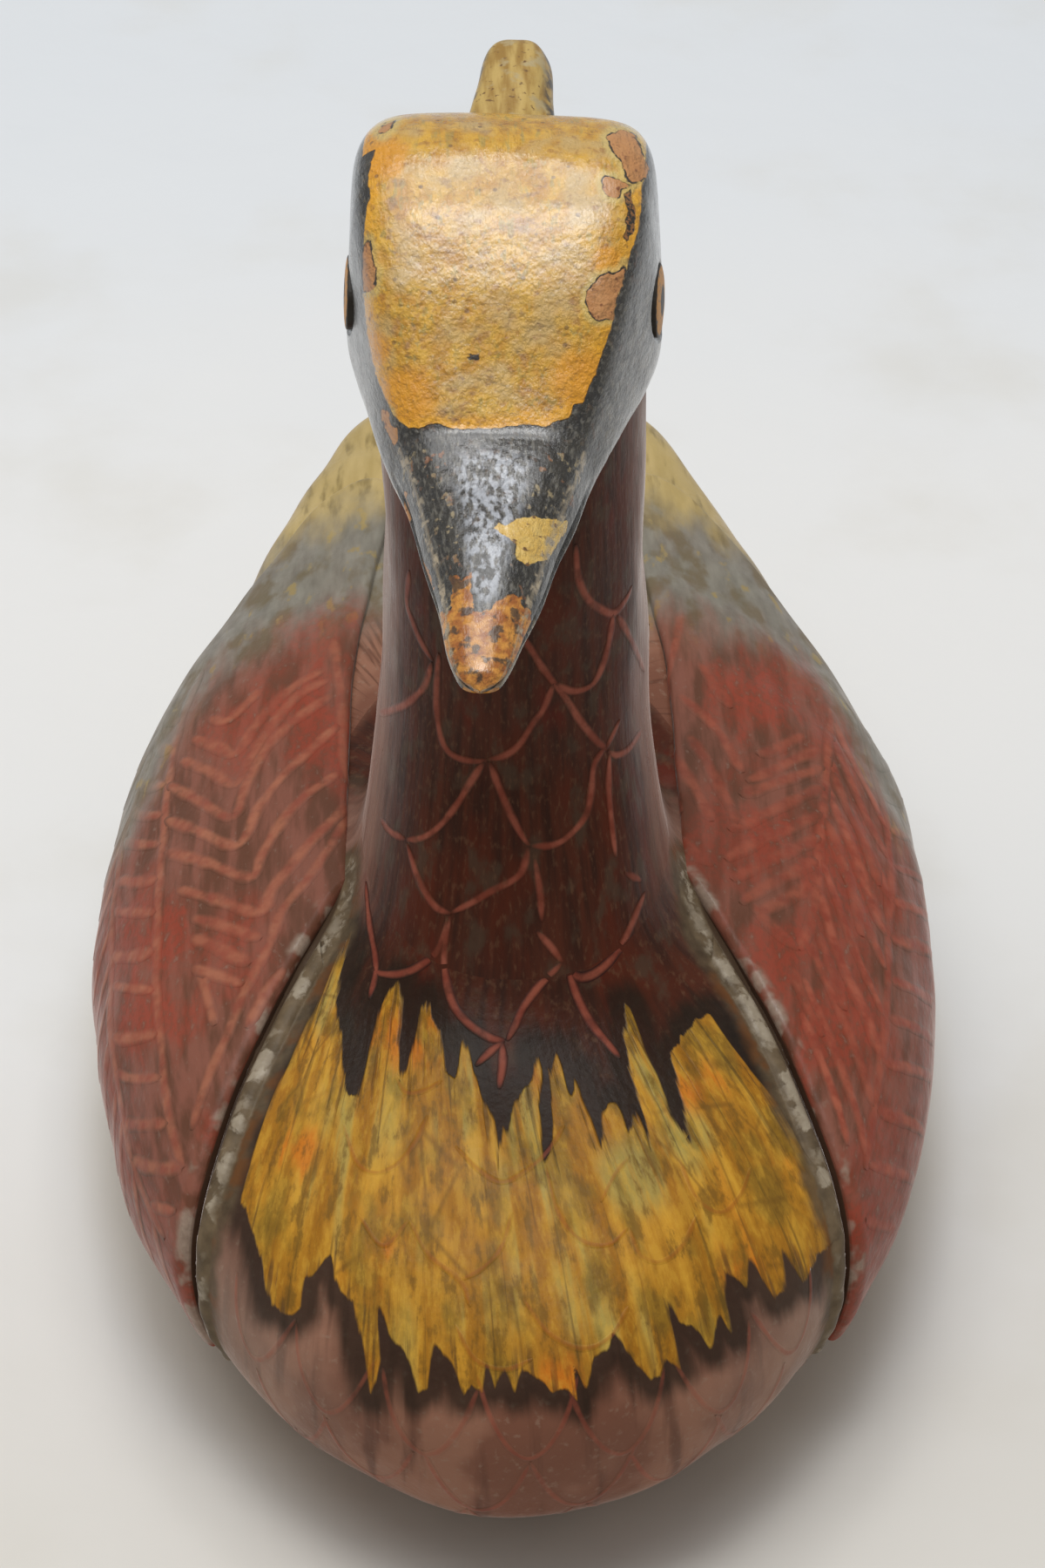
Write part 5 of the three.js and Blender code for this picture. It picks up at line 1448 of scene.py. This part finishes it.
def make_head():
    def row_density(share):
        f = share * HEAD_LENGTH
        return 1 + 2 * hump(f, 0, 5) + hump(f, EYE_FROM_TIP, 7) + 1.5 * hump(f, HEAD_LENGTH, 6)

    def column_density(share):
        return 1 + 1.3 * hump(share, 0.25, 0.1) + 1.3 * hump(share, 0.75, 0.1)

    from_tip = np.maximum(spread(row_density, HEAD_ROWS) * HEAD_LENGTH, 0.02)
    places = spread(column_density, HEAD_COLUMNS + 1)[:-1]
    fine = np.linspace(0, 2 * math.pi, RING_FINE) - math.pi / 2
    rings, arcs, ups = [], [], []
    for f in from_tip:
        section = head_section(f)
        across, up = rounded(fine, section["exponent"])
        dense = on_head(section, across, up)
        length = np.concatenate([[0], np.cumsum(np.linalg.norm(np.diff(dense, axis=0), axis=1))])
        at = places * length[-1]
        rings.append(np.stack([np.interp(at, length, dense[:, i]) for i in range(3)], 1))
        arcs.append(at - length[-1] / 2)
        ups.append(np.interp(at, length, up))
    for swing in np.linspace(0, math.pi / 2, DOME_ROWS + 1)[1:]:
        centre = rings[HEAD_ROWS - 1].mean(0)
        ring = centre + (rings[HEAD_ROWS - 1] - centre) * max(math.cos(swing), 0.002)
        rings.append(ring + [0, NAPE_DOME * math.sin(swing), 0])
        arcs.append(arcs[HEAD_ROWS - 1])
        ups.append(ups[HEAD_ROWS - 1])
    points, arcs, ups = np.array(rings), np.array(arcs), np.array(ups)
    from_tip = np.concatenate([from_tip, np.full(DOME_ROWS, HEAD_LENGTH)])[:, None] + 0 * arcs

    section_middle = (points.max(1, keepdims=True) + points.min(1, keepdims=True)) / 2
    rows_apart = np.gradient(points, axis=0)
    columns_apart = np.roll(points, -1, 1) - np.roll(points, 1, 1)
    outward = unit(np.cross(rows_apart, columns_apart))
    away = points - section_middle + [0, 1e-3, 0]
    outward *= np.sign((outward * away).sum(-1, keepdims=True) + 1e-9)

    # The mouth's groove along both sides of the bill
    swing = np.sqrt(np.clip(from_tip / MOUTH_LENGTH, 0, 1))
    section = head_section(from_tip)
    mouth = section["middle"] + MOUTH_HEIGHT * swing
    depth = MOUTH_DEPTH * (1 - swing**6) * (from_tip < MOUTH_LENGTH)
    seam = np.clip(1 - np.abs(points[..., 2] - mouth) / MOUTH_GAPE, 0, 1) * (np.abs(arcs) > 1)
    shift = -depth * seam**0.8 * smooth(from_tip, 0.0, 1.5)
    # The eyes' sockets, each with a groove round it
    for side in (1, -1):
        at, along, out, upward = eye_frame(side)
        away = points - at
        far = np.hypot(away @ along / (EYE_LENGTH / 2), away @ upward / (EYE_HEIGHT / 2))
        near = (np.abs(away @ out) < EYE_DEPTH) * (np.sign(points[..., 0]) == side)
        reach = (far - 1) * EYE_LENGTH / 2
        well = np.where(reach < 0, 1, np.clip(1 - reach / EYE_GROOVE, 0, 1))
        shift = shift - near * well * EYE_GROOVE
    shift = shift + waver(to_world(points)) * smooth(from_tip, *UNEVEN_FROM_TIP)
    points = points + outward * shift[..., None]
    seated = points[..., 1] > SEAT_FRONT
    points[..., 2] = np.where(seated, np.maximum(points[..., 2], 0), points[..., 2])

    world = to_world(points)
    normals = world_direction(outward)
    pixels = to_photo(world)
    seen = facing_camera(world, normals) > 0.0
    # Behind the crown's horizon the yellow keeps its width down to the nape
    top = 1 - (np.abs(arcs) - CROWN_REACH)
    behind = np.minimum(top, NAPE_YELLOW - from_tip)
    forehead = np.where(seen & (from_tip < HORIZON_FROM_TIP), outline_margin(pixels, FOREHEAD),
                        np.where(from_tip > HORIZON_FROM_TIP - 6, behind, OUTSIDE))
    patch = np.where(seen, outline_margin(pixels, BILL_PATCH), OUTSIDE)
    tip = np.where(seen | (from_tip < 4), outline_margin(pixels, BILL_TIP), OUTSIDE)
    tip = np.where(~seen, BARE_TIP - from_tip, tip)
    zones = np.stack([forehead, patch, tip], -1)
    flake = np.max([outline_margin(pixels, outline) for outline in FLAKES.values()], 0)
    strip = outline_margin(pixels, BARE_STRIP)
    from_pit = np.hypot((pixels[..., 0] - PIT[0]) / PIT_STRETCH, pixels[..., 1] - PIT[1])
    pit = PIT_SIZE - from_pit / PIXELS_PER_MM * PIT_STEEPNESS
    flakes = np.where(seen[..., None], np.stack([flake, strip, pit], -1), OUTSIDE)
    under_mouth = MOUTH_HEIGHT * swing / section["rise"] - MOUTH_LIP
    lower_ridge = MOUTH_RIDGE_WEAR * hump(ups, under_mouth, MOUTH_RIDGE_WIDTH)
    ridge = np.maximum(hump(ups, *BILL_RIDGE), lower_ridge) * (from_tip < MOUTH_LENGTH)
    # Real scuffs up to 1, and above 1 the painted highlight along the bill's ridge
    scuffs_and_ridge_highlight = np.where(seen, glow(world, BILL_SCUFFS), -1)
    along_ridge = smooth(from_tip, *RIDGE_HIGHLIGHT_START) * (1 - smooth(from_tip, *RIDGE_HIGHLIGHT_END))
    ridge_highlight = 1 - np.abs(arcs) / lerp(*RIDGE_HIGHLIGHT_WIDTHS, smooth(from_tip, *RIDGE_HIGHLIGHT_WIDENS))
    scuffs_and_ridge_highlight = np.maximum(scuffs_and_ridge_highlight, 1 + np.clip(ridge_highlight, -1, 1) * along_ridge)
    worn = np.stack([ridge, np.clip(seam * (depth > 0.2), 0, 1), scuffs_and_ridge_highlight], -1)
    piece = Carving()
    rows = HEAD_ROWS + DOME_ROWS
    piece.add(world, grid_faces(rows, HEAD_COLUMNS, closed=True), normals, zones=zones,
              flakes=flakes, worn=worn, deep=np.where(seen, glow(world, AMBER_SPOTS), -1))
    return piece


# Crest
CREST_ROWS = 90
CREST_COLUMNS = 90


def make_crest():
    step = np.linspace(0, 1, CREST_ROWS)[:, None]
    share = np.sin(step * math.pi / 2)
    rounding = np.sqrt(1 - 0.998 * share**CREST_END_EXPONENT)
    width = lerp(CREST_ROOT_WIDTH, CREST_TIP_WIDTH, share)
    turn = full_turn(CREST_COLUMNS)
    across, up = rounded(turn, CREST_EXPONENT)
    root = NAPE_BEHIND_AXIS - CREST_SEAT_DEPTH
    lumps = 1 + 0.035 * np.sin(5 * turn + 3 * share) + 0.03 * np.sin(2 * turn + 9 * share)
    x = width / 2 * rounding * across * lumps
    y = root + share * CREST_LENGTH + 0 * turn
    z = CREST_HEIGHT + CREST_RISE * share + CREST_THICKNESS / 2 * rounding * up * lumps
    points = np.stack([x, y, z], -1)
    level = CREST_HEIGHT + CREST_RISE * share
    axis = np.stack(np.broadcast_arrays(0 * y, y - share**8 * 3, level + 0 * y), -1)
    outward = unit(points - axis)
    normals = world_direction(outward)
    piece = Carving()
    world = to_world(points)
    piece.add(world, grid_faces(CREST_ROWS, CREST_COLUMNS, closed=True), normals,
              side=np.broadcast_to(across, (CREST_ROWS, CREST_COLUMNS)))
    end = np.concatenate([world[-1], world[-1].mean(0)[None]])
    piece.add(end, fan(CREST_COLUMNS), np.concatenate([normals[-1], normals[-1][:1]]),
              side=np.zeros(len(end)))
    return piece


# Eyes
EYE_ROWS = 16
EYE_COLUMNS = 72


def make_eye(side):
    at, along, outward, upward = eye_frame(side)
    swing = np.linspace(0, math.pi / 2, EYE_ROWS)
    radius = np.concatenate([[1.0, 1.0], np.cos(swing[1:])])[:, None]
    height = np.concatenate([[-EYE_STEM, 0.0], EYE_DOME * np.sin(swing[1:])])[:, None]
    turn = full_turn(EYE_COLUMNS)
    lumps = 1 + 0.02 * np.sin(3 * turn) + 0.015 * np.sin(7 * turn + 2)
    x, z = radius * np.cos(turn) * lumps, radius * np.sin(turn) * lumps
    points = (at + x[..., None] * along * EYE_LENGTH / 2 + z[..., None] * upward * EYE_HEIGHT / 2
              + height[..., None] * outward)
    piece = Carving()
    world = to_world(points)
    normals = world_direction(points - (at - outward * EYE_DEPTH))
    piece.add(world, grid_faces(EYE_ROWS + 1, EYE_COLUMNS, closed=True), normals,
              boss=np.broadcast_to(radius, x.shape))
    return piece


# Wings
WING_ROWS = 240
WING_COLUMNS = 140
RIM_STEPS = 4


def make_wing(side):
    def edge_density(share):
        return 1 + 4 * hump(share, 0, 0.03) + 4 * hump(share, 1, 0.03)

    along = spread(edge_density, WING_ROWS)[:, None]
    down = spread(edge_density, WING_COLUMNS)[None]
    along, down = np.broadcast_arrays(along, down)
    from_front, angle = wing_place(along, down)
    lead, _ = wing_place(0, down)
    end, _ = wing_place(1, down)
    upper = skin(*wing_place(along, 0 * down))
    lower = skin(*wing_place(along, 0 * down + 1))
    girth = np.linalg.norm(upper - lower, axis=-1)
    to_edge = np.minimum(np.minimum(along, 1 - along) * (end - lead),
                         np.minimum(down, 1 - down) * girth)
    slope = 1 - np.clip(to_edge / WING_EDGE, 0, 1)
    lift = lerp(WING_EDGE_PROUD, WING_PROUD, np.sqrt(1 - slope**2))
    flip = np.array([side, 1, 1])
    normals = skin_normal(from_front, angle) * flip
    base = skin(from_front, angle) * flip
    uneven = waver(base)
    outer = base + normals * (lift + uneven)[..., None]
    ahead = ahead_of_lead(base, np.where(along > 0, along, -1e-9))
    piece = Carving()
    edge = np.stack([ahead, lift, down], -1)
    piece.add(outer, grid_faces(WING_ROWS, WING_COLUMNS), normals, edge=edge,
              wash=glow(outer, RED_WASHES))
    under = base - normals * WING_SEAT
    piece.add(under, grid_faces(WING_ROWS, WING_COLUMNS), -normals, edge=edge * [1, 0, 1])
    # The rim from the outer face down into the pocket
    loop = ([(0, c) for c in range(WING_COLUMNS)]
            + [(r, WING_COLUMNS - 1) for r in range(1, WING_ROWS)]
            + [(WING_ROWS - 1, c) for c in range(WING_COLUMNS - 2, -1, -1)]
            + [(r, 0) for r in range(WING_ROWS - 2, 0, -1)])
    rows, columns = np.array(loop).T
    share = np.linspace(0, 1, RIM_STEPS)[:, None, None]
    rim = lerp(outer[rows, columns][None], under[rows, columns][None], share)
    rim_edge = np.tile(edge[rows, columns], (RIM_STEPS, 1, 1))
    rim_edge[..., 1] = lerp(WING_EDGE_PROUD, -WING_SEAT, share[..., 0])
    away = np.broadcast_to(rim[0] - outer.reshape(-1, 3).mean(0), rim.shape)
    piece.add(rim, grid_faces(RIM_STEPS, len(loop), closed=True), away, edge=rim_edge)
    return piece


# Feathers on the flanks, by the side of the duck. The quills are given as [distance from the
# breast, degrees]. Barbs run from one quill to another, sweep back that far, and start between two
# distances.
FEATHERS = {
    -1: {"quills": [curve([[46, 27], [64, 31], [80, 33], [97, 34.5], [118, 33], [150, 31]]),
                    curve([[46, 10], [80, 17], [120, 20], [150, 24]]),
                    curve([[40, -8], [80, 1], [120, 8], [150, 14]])],
         "drawn": (0, 1),
         "barbs": [(0, 1, 9, 36, 140), (2, 1, 8, 36, 140)], "spacing": 7.6},
    1: {"quills": [curve([[40, 44], [60, 48], [73, 49], [83, 46.9], [92, 45.4], [103, 44.2],
                          [116, 41.2], [129, 37.3], [150, 33]]),
                   curve([[40, 22], [62, 28], [80, 29], [120, 25], [150, 24]]),
                   curve([[40, -4], [80, 4], [120, 8], [150, 12]])],
        "drawn": (1,),
        "barbs": [(1, 0, 27, 36, 112), (1, 2, 10, 36, 140)], "spacing": 8.2}}
# Feather strokes that the photograph shows on each wing, in its pixels: quills, then barbs
WING_QUILLS = {
    -1: [[(383, 733), (387, 767), (392, 800), (393, 833), (395, 867), (400, 900), (408, 923)],
         [(403, 933), (360, 1000), (323, 1047), (310, 1083), (283, 1133), (260, 1190), (243, 1227),
          (227, 1270), (220, 1297)],
         [(230, 1113), (238, 1145), (247, 1177)]],
    1: [[(782, 700), (777, 733), (768, 773), (768, 800), (763, 827), (758, 850)],
        [(955, 820), (950, 873), (947, 913), (943, 953), (940, 990), (937, 1025), (930, 1065),
         (917, 1090)]]}
WING_BARBS = {
    -1: [[(220, 847), (250, 857), (270, 865), (290, 838), (310, 812), (338, 788), (372, 768)],
         [(207, 872), (240, 885), (270, 900), (290, 867), (310, 835), (343, 797), (378, 780)],
         [(193, 900), (230, 920), (267, 938), (283, 900), (307, 857), (343, 823), (382, 797)],
         [(190, 940), (230, 955), (273, 970), (297, 927), (323, 893), (357, 860), (388, 832)],
         [(190, 977), (240, 991), (287, 1007), (300, 983), (317, 953), (343, 920), (388, 887)],
         [(203, 1020), (250, 1033), (297, 1047), (313, 1020), (337, 990), (360, 963), (398, 925)],
         [(220, 1053), (260, 1064), (300, 1078)],
         [(220, 1075), (255, 1090), (287, 1107)],
         [(220, 1110), (250, 1120), (280, 1130)],
         [(240, 823), (257, 828), (275, 815), (300, 790)],
         [(283, 1180), (303, 1143), (327, 1110)]],
    1: [[(803, 760), (823, 790), (840, 813)],
        [(780, 797), (803, 817), (827, 843), (843, 870), (853, 887)],
        [(790, 843), (807, 867), (823, 897), (840, 927), (847, 947)],
        [(767, 860), (787, 887), (803, 913), (817, 943)],
        [(760, 887), (773, 913), (783, 933)],
        [(783, 963), (803, 983), (820, 993)],
        [(870, 867), (897, 857), (923, 843)],
        [(857, 897), (883, 887), (910, 873), (940, 861)],
        [(850, 913), (887, 900), (920, 889), (946, 880)],
        [(837, 953), (873, 937), (907, 920), (945, 903)],
        [(833, 987), (867, 967), (900, 953), (943, 933)],
        [(840, 1010), (870, 993), (900, 980), (941, 960)],
        [(850, 1037), (880, 1017), (913, 1000), (938, 987)],
        [(867, 1050), (900, 1033), (932, 1015)],
        [(863, 1037), (893, 1070), (917, 1090)],
        [(957, 887), (973, 927), (993, 967), (1010, 1017)],
        [(950, 940), (966, 985), (982, 1030), (990, 1075)],
        [(940, 1070), (953, 1107), (970, 1160)],
        [(910, 1110), (925, 1150), (945, 1190)]]}
FEATHERS_START = 34
FEATHERS_END = 152
FEATHERS_END_SHIFT = (-6, 4)
# How far strokes may go along and down a wing, as shares of it
STROKES_ALONG = (0.015, 0.93)
STROKES_DOWN = (0.012, 0.985)
QUILL_WIDTH = 2.3
QUILL_STRENGTH = 0.75
# How barbs vary: where each starts and sweeps to, how far it reaches and bows, width and strength
BARB_WIDTH = 2.7
BARB_WIDTHS = (0.75, 1.15)
BARB_STRENGTHS = (0.7, 0.95)
BARB_REACHES = (0.9, 1.0)
BARB_BOWS = (0.5, 2.0)
BARB_SHIFTS = (-0.7, 0.7)
BARB_SWEEPS = (-1.2, 1.2)


def paint_feathers(piece, side):
    tree = piece.tree()
    plan = FEATHERS[side]
    quills = plan["quills"]

    def on_wing(from_front, degrees):
        lift = np.full(np.shape(from_front), WING_PROUD)
        return over_skin(from_front, np.radians(degrees), lift) * [side, 1, 1]

    def stroke(from_front, degrees, width, strength):
        along, down = wing_share(from_front, np.radians(degrees))
        keep = (along > STROKES_ALONG[0]) & (along < STROKES_ALONG[1])
        keep &= (down > STROKES_DOWN[0]) & (down < STROKES_DOWN[1])
        keep &= from_front < FEATHERS_END + rng.uniform(*FEATHERS_END_SHIFT)
        if keep.sum() > 3:
            track = on_wing(from_front[keep], degrees[keep])
            paint_stroke(piece, tree, track, width, wing_ground, strength)

    for number in plan["drawn"]:
        f = np.linspace(FEATHERS_START, FEATHERS_END, 26)
        stroke(f, quills[number](f), QUILL_WIDTH, QUILL_STRENGTH)
    for start, end, sweep, first, last in plan["barbs"]:
        for root in np.arange(first, last, plan["spacing"]):
            share = np.linspace(0.02, rng.uniform(*BARB_REACHES), 11)
            f = root + rng.uniform(*BARB_SHIFTS) + (sweep + rng.uniform(*BARB_SWEEPS)) * share
            bow = rng.uniform(*BARB_BOWS) * np.sin(math.pi * share)
            degrees = lerp(quills[start](f), quills[end](f), share) - np.sign(end - start) * bow
            stroke(f, degrees, BARB_WIDTH * rng.uniform(*BARB_WIDTHS),
                   rng.uniform(*BARB_STRENGTHS))


# What a wing's paint knows under a stroke: far behind the leading edge, the plate's height and a
# place well down it
UNDER_STROKE = (-20.0, WING_PROUD, 0.35)


def wing_ground(points, _):
    return {"edge": np.full(points.shape, UNDER_STROKE), "wash": glow(points, RED_WASHES)}


# The net of scales: widths of its strokes, steps along them in the photograph's pixels, and the
# jump that ends one at a step in the surface
NET_WIDTH = 1.45
BREAST_NET_WIDTH = 0.9
LOW_SCALE_WIDTH = 1.1
NET_STEP = 5.0
NET_JUMP = 4.0
NET_STRENGTHS = (0.85, 1.0)
SCALE_WIDTHS = (0.85, 1.15)
SCALE_STRENGTHS = (0.6, 1.0)
SCALE_SHIFTS = (-0.1, 0.1)
# Rows of scales on the neck: degrees between columns, distance between rows and of the first row
# from the top
NECK_SCALE_TURN = 36
NECK_SCALE_DROP = 18
NECK_SCALE_TOP = 8
# Rows of scales below the breast's yellow, in degrees seen from their centre
BREAST_SCALE_TURN = 13
BREAST_SCALE_CLIMB = 10
BREAST_SCALE_TOP = 9
BELLY_MARGIN = 1.5
# Where the scales below the breast's yellow fan out from, and how far to each side
SCALE_CENTRE = (0, -46.5, 20)
SCALE_WIDEST = math.radians(48)


def paint_net(piece, strokes, width, ground, strength, other=None):
    """Strokes that the photograph shows. Where one crosses to the other surface, it ends there."""
    tree = piece.tree()
    for pixels in strokes:
        flat = np.column_stack([np.array(pixels, float), np.zeros(len(pixels))])
        share = strength * rng.uniform(*NET_STRENGTHS)
        runs, run, starts_free = [], [], True
        for x, y, _ in smooth_track(flat, NET_STEP):
            hit = from_photo([(x, y)], tree)
            beyond = from_photo([(x, y)], other) if other else []
            seen = len(hit) > 0 and not (len(beyond) and camera_far(beyond[0]) < camera_far(hit[0]))
            if seen and (not run or np.linalg.norm(hit[0] - run[-1]) < NET_JUMP):
                run.append(hit[0])
            elif run:
                runs.append((run, starts_free, False))
                run, starts_free = ([hit[0]] if seen else []), False
            elif not seen:
                starts_free = False
        if run:
            runs.append((run, starts_free, True))
        for run, *free in runs:
            if len(run) > 3:
                paint_stroke(piece, tree, run, width, ground, share, free=free)


def camera_far(point):
    return np.linalg.norm(point - camera_place)


def paint_scales(piece, place, columns, rows, width, ground, strength):
    """Staggered rows of hanging scales; place turns (column, row) into a point, or None."""
    tree = piece.tree()
    for row in rows:
        for column in columns:
            middle = column + (0.5 if row % 2 else 0.0)
            share = np.linspace(-0.5, 0.5, 9)
            jitter = rng.uniform(*SCALE_SHIFTS, 2)
            track = [place(middle + s + jitter[0], row + jitter[1] + (2 * abs(s)) ** 1.8)
                     for s in share]
            if all(point is not None for point in track):
                paint_stroke(piece, tree, np.array(track), width * rng.uniform(*SCALE_WIDTHS),
                             ground, strength * rng.uniform(*SCALE_STRENGTHS))


def neck_scale_place(column, row):
    """Scales on the sides and back of the neck, which the photograph hides."""
    turn = math.radians(column * NECK_SCALE_TURN)
    height = NECK_TOP_HEIGHT - NECK_SCALE_TOP + row * NECK_SCALE_DROP
    if math.sin(turn) < -0.3 or not NECK_JOINT_HEIGHT + 1 < height < NECK_TOP_HEIGHT - 1:
        return None
    return neck_point(np.array(height), np.array(turn))


def breast_scale_place(column, row):
    """Scales below the breast's yellow."""
    azimuth = math.radians(column * BREAST_SCALE_TURN)
    climb = math.radians(BREAST_SCALE_TOP + row * BREAST_SCALE_CLIMB)
    if abs(azimuth) > SCALE_WIDEST:
        return None
    level = math.cos(climb)
    aim = Vector((math.sin(azimuth) * level, -math.cos(azimuth) * level, math.sin(climb)))
    hit = body_tree.ray_cast(Vector(SCALE_CENTRE), aim)[0]
    if hit is None or hit.z < BELLY_MARGIN:
        return None
    return np.array(hit)


def make_painted_wing(name, side, quill_strength, barb_strength, light, dark):
    piece = make_wing(side)
    paint_feathers(piece, side)
    paint_net(piece, WING_QUILLS[side], QUILL_WIDTH, wing_ground, quill_strength)
    paint_net(piece, WING_BARBS[side], BARB_WIDTH, wing_ground, barb_strength)
    return piece.build(f"{name}_carving", [wing_finish(f"{name}_paint", light, dark)])


body = make_body()
body_tree = body.tree()
neck = make_neck()
neck_tree = neck.tree()
paint_net(body, NECK_NET, NET_WIDTH, body_stroke_ground, strength=0.9, other=neck_tree)
paint_net(body, BREAST_NET, BREAST_NET_WIDTH, body_stroke_ground, strength=0.5)
paint_scales(body, breast_scale_place, range(-5, 6), range(-3, 1), LOW_SCALE_WIDTH,
             body_stroke_ground, strength=0.6)
body_piece = body.build("body_carving", [body_finish()])

paint_net(neck, NECK_NET, NET_WIDTH, neck_ground, strength=0.9, other=body_tree)
paint_scales(neck, neck_scale_place, range(0, 10), range(-4, 1), NET_WIDTH, neck_ground,
             strength=0.95)
neck_piece = neck.build("neck_carving", [neck_finish()])

head_piece = make_head().build("head_carving", [head_finish()])
crest_piece = make_crest().build("crest_carving", [crest_finish()])
eye_paint = eye_finish()
left_eye_piece = make_eye(1).build("left_eye_boss", [eye_paint])
right_eye_piece = make_eye(-1).build("right_eye_boss", [eye_paint])

left_wing_piece = make_painted_wing("left_wing", 1, quill_strength=0.65, barb_strength=0.6,
                                    light=0xb06048, dark=0x8e3f2e)
right_wing_piece = make_painted_wing("right_wing", -1, quill_strength=0.7, barb_strength=0.8,
                                     light=0xb07054, dark=0x944c3a)

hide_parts("body")
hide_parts("neck")
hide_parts("head")
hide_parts("crest")
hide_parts("left_eye")
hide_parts("right_eye")
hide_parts("left_wing")
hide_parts("right_wing")

# Dowels and pegs stay as the CAD has them, in bare wood
bare_wood = bare_wood_finish()
for name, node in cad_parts.items():
    if name.endswith(("_dowel", "_peg")):
        for slot in node.material_slots:
            slot.material = bare_wood

# Floor
FLOOR_SIZE = 5.0
FLOOR_STEPS = 9
floor_mesh = bpy.data.meshes.new("floor")
steps = np.linspace(-FLOOR_SIZE / 2, FLOOR_SIZE / 2, FLOOR_STEPS)
floor_points = [(x, y, 0.0) for y in steps for x in steps]
floor_mesh.from_pydata(floor_points, [], grid_faces(FLOOR_STEPS, FLOOR_STEPS).tolist())
floor_mesh.materials.append(floor_finish())
floor = bpy.data.objects.new("floor", floor_mesh)
bpy.context.scene.collection.objects.link(floor)


# Lights and camera
ROOM_LEVEL = 0.34
BACKDROP_LEVEL = 0.8
ROOM_COLOUR = (1, 0.99, 0.97, 1)


def area_light(name, place, size, power):
    """A lamp that shines straight down."""
    lamp = bpy.data.lights.new(name, "AREA")
    lamp.shape = "RECTANGLE"
    lamp.size, lamp.size_y = size
    lamp.energy = power
    light = bpy.data.objects.new(name, lamp)
    light.location = place
    light.rotation_euler = Vector((0, 0, -1)).to_track_quat("-Z", "Y").to_euler()
    bpy.context.scene.collection.objects.link(light)


# Place and size in metres and power in watts: a wide panel, a smaller core below it that gives
# the shadow, and a strip behind the duck
area_light("panel", (-0.2, 0.13, 1.45), (1.3, 1.15), 13.2)
area_light("core", (-0.02, -0.11, 1.4), (0.36, 0.36), 3.0)
area_light("strip", (-0.02, 0.6, 1.4), (0.2, 0.22), 1.0)

world = bpy.data.worlds.new("room")
world.use_nodes = True
nodes, links = world.node_tree.nodes, world.node_tree.links
background = nodes["Background"]
background.inputs["Color"].default_value = ROOM_COLOUR
seen_directly = nodes.new("ShaderNodeLightPath").outputs["Is Camera Ray"]
level = nodes.new("ShaderNodeMath")
level.operation = "MULTIPLY_ADD"
links.new(seen_directly, level.inputs[0])
level.inputs[1].default_value = BACKDROP_LEVEL - ROOM_LEVEL
level.inputs[2].default_value = ROOM_LEVEL
links.new(level.outputs[0], background.inputs["Strength"])
bpy.context.scene.world = world

lens = bpy.data.cameras.new("camera")
lens.sensor_fit = "AUTO"
lens.sensor_width = SENSOR
lens.lens = SENSOR * CAMERA_PIXELS / PHOTO_HEIGHT
lens.clip_start = 0.01
lens.clip_end = 20
camera = bpy.data.objects.new("camera", lens)
camera.location = Vector(camera_place * MM)
camera.rotation_euler = Vector(camera_axis).to_track_quat("-Z", "Y").to_euler()
bpy.context.scene.collection.objects.link(camera)
bpy.context.scene.camera = camera
bpy.context.scene.view_settings.view_transform = "Standard"
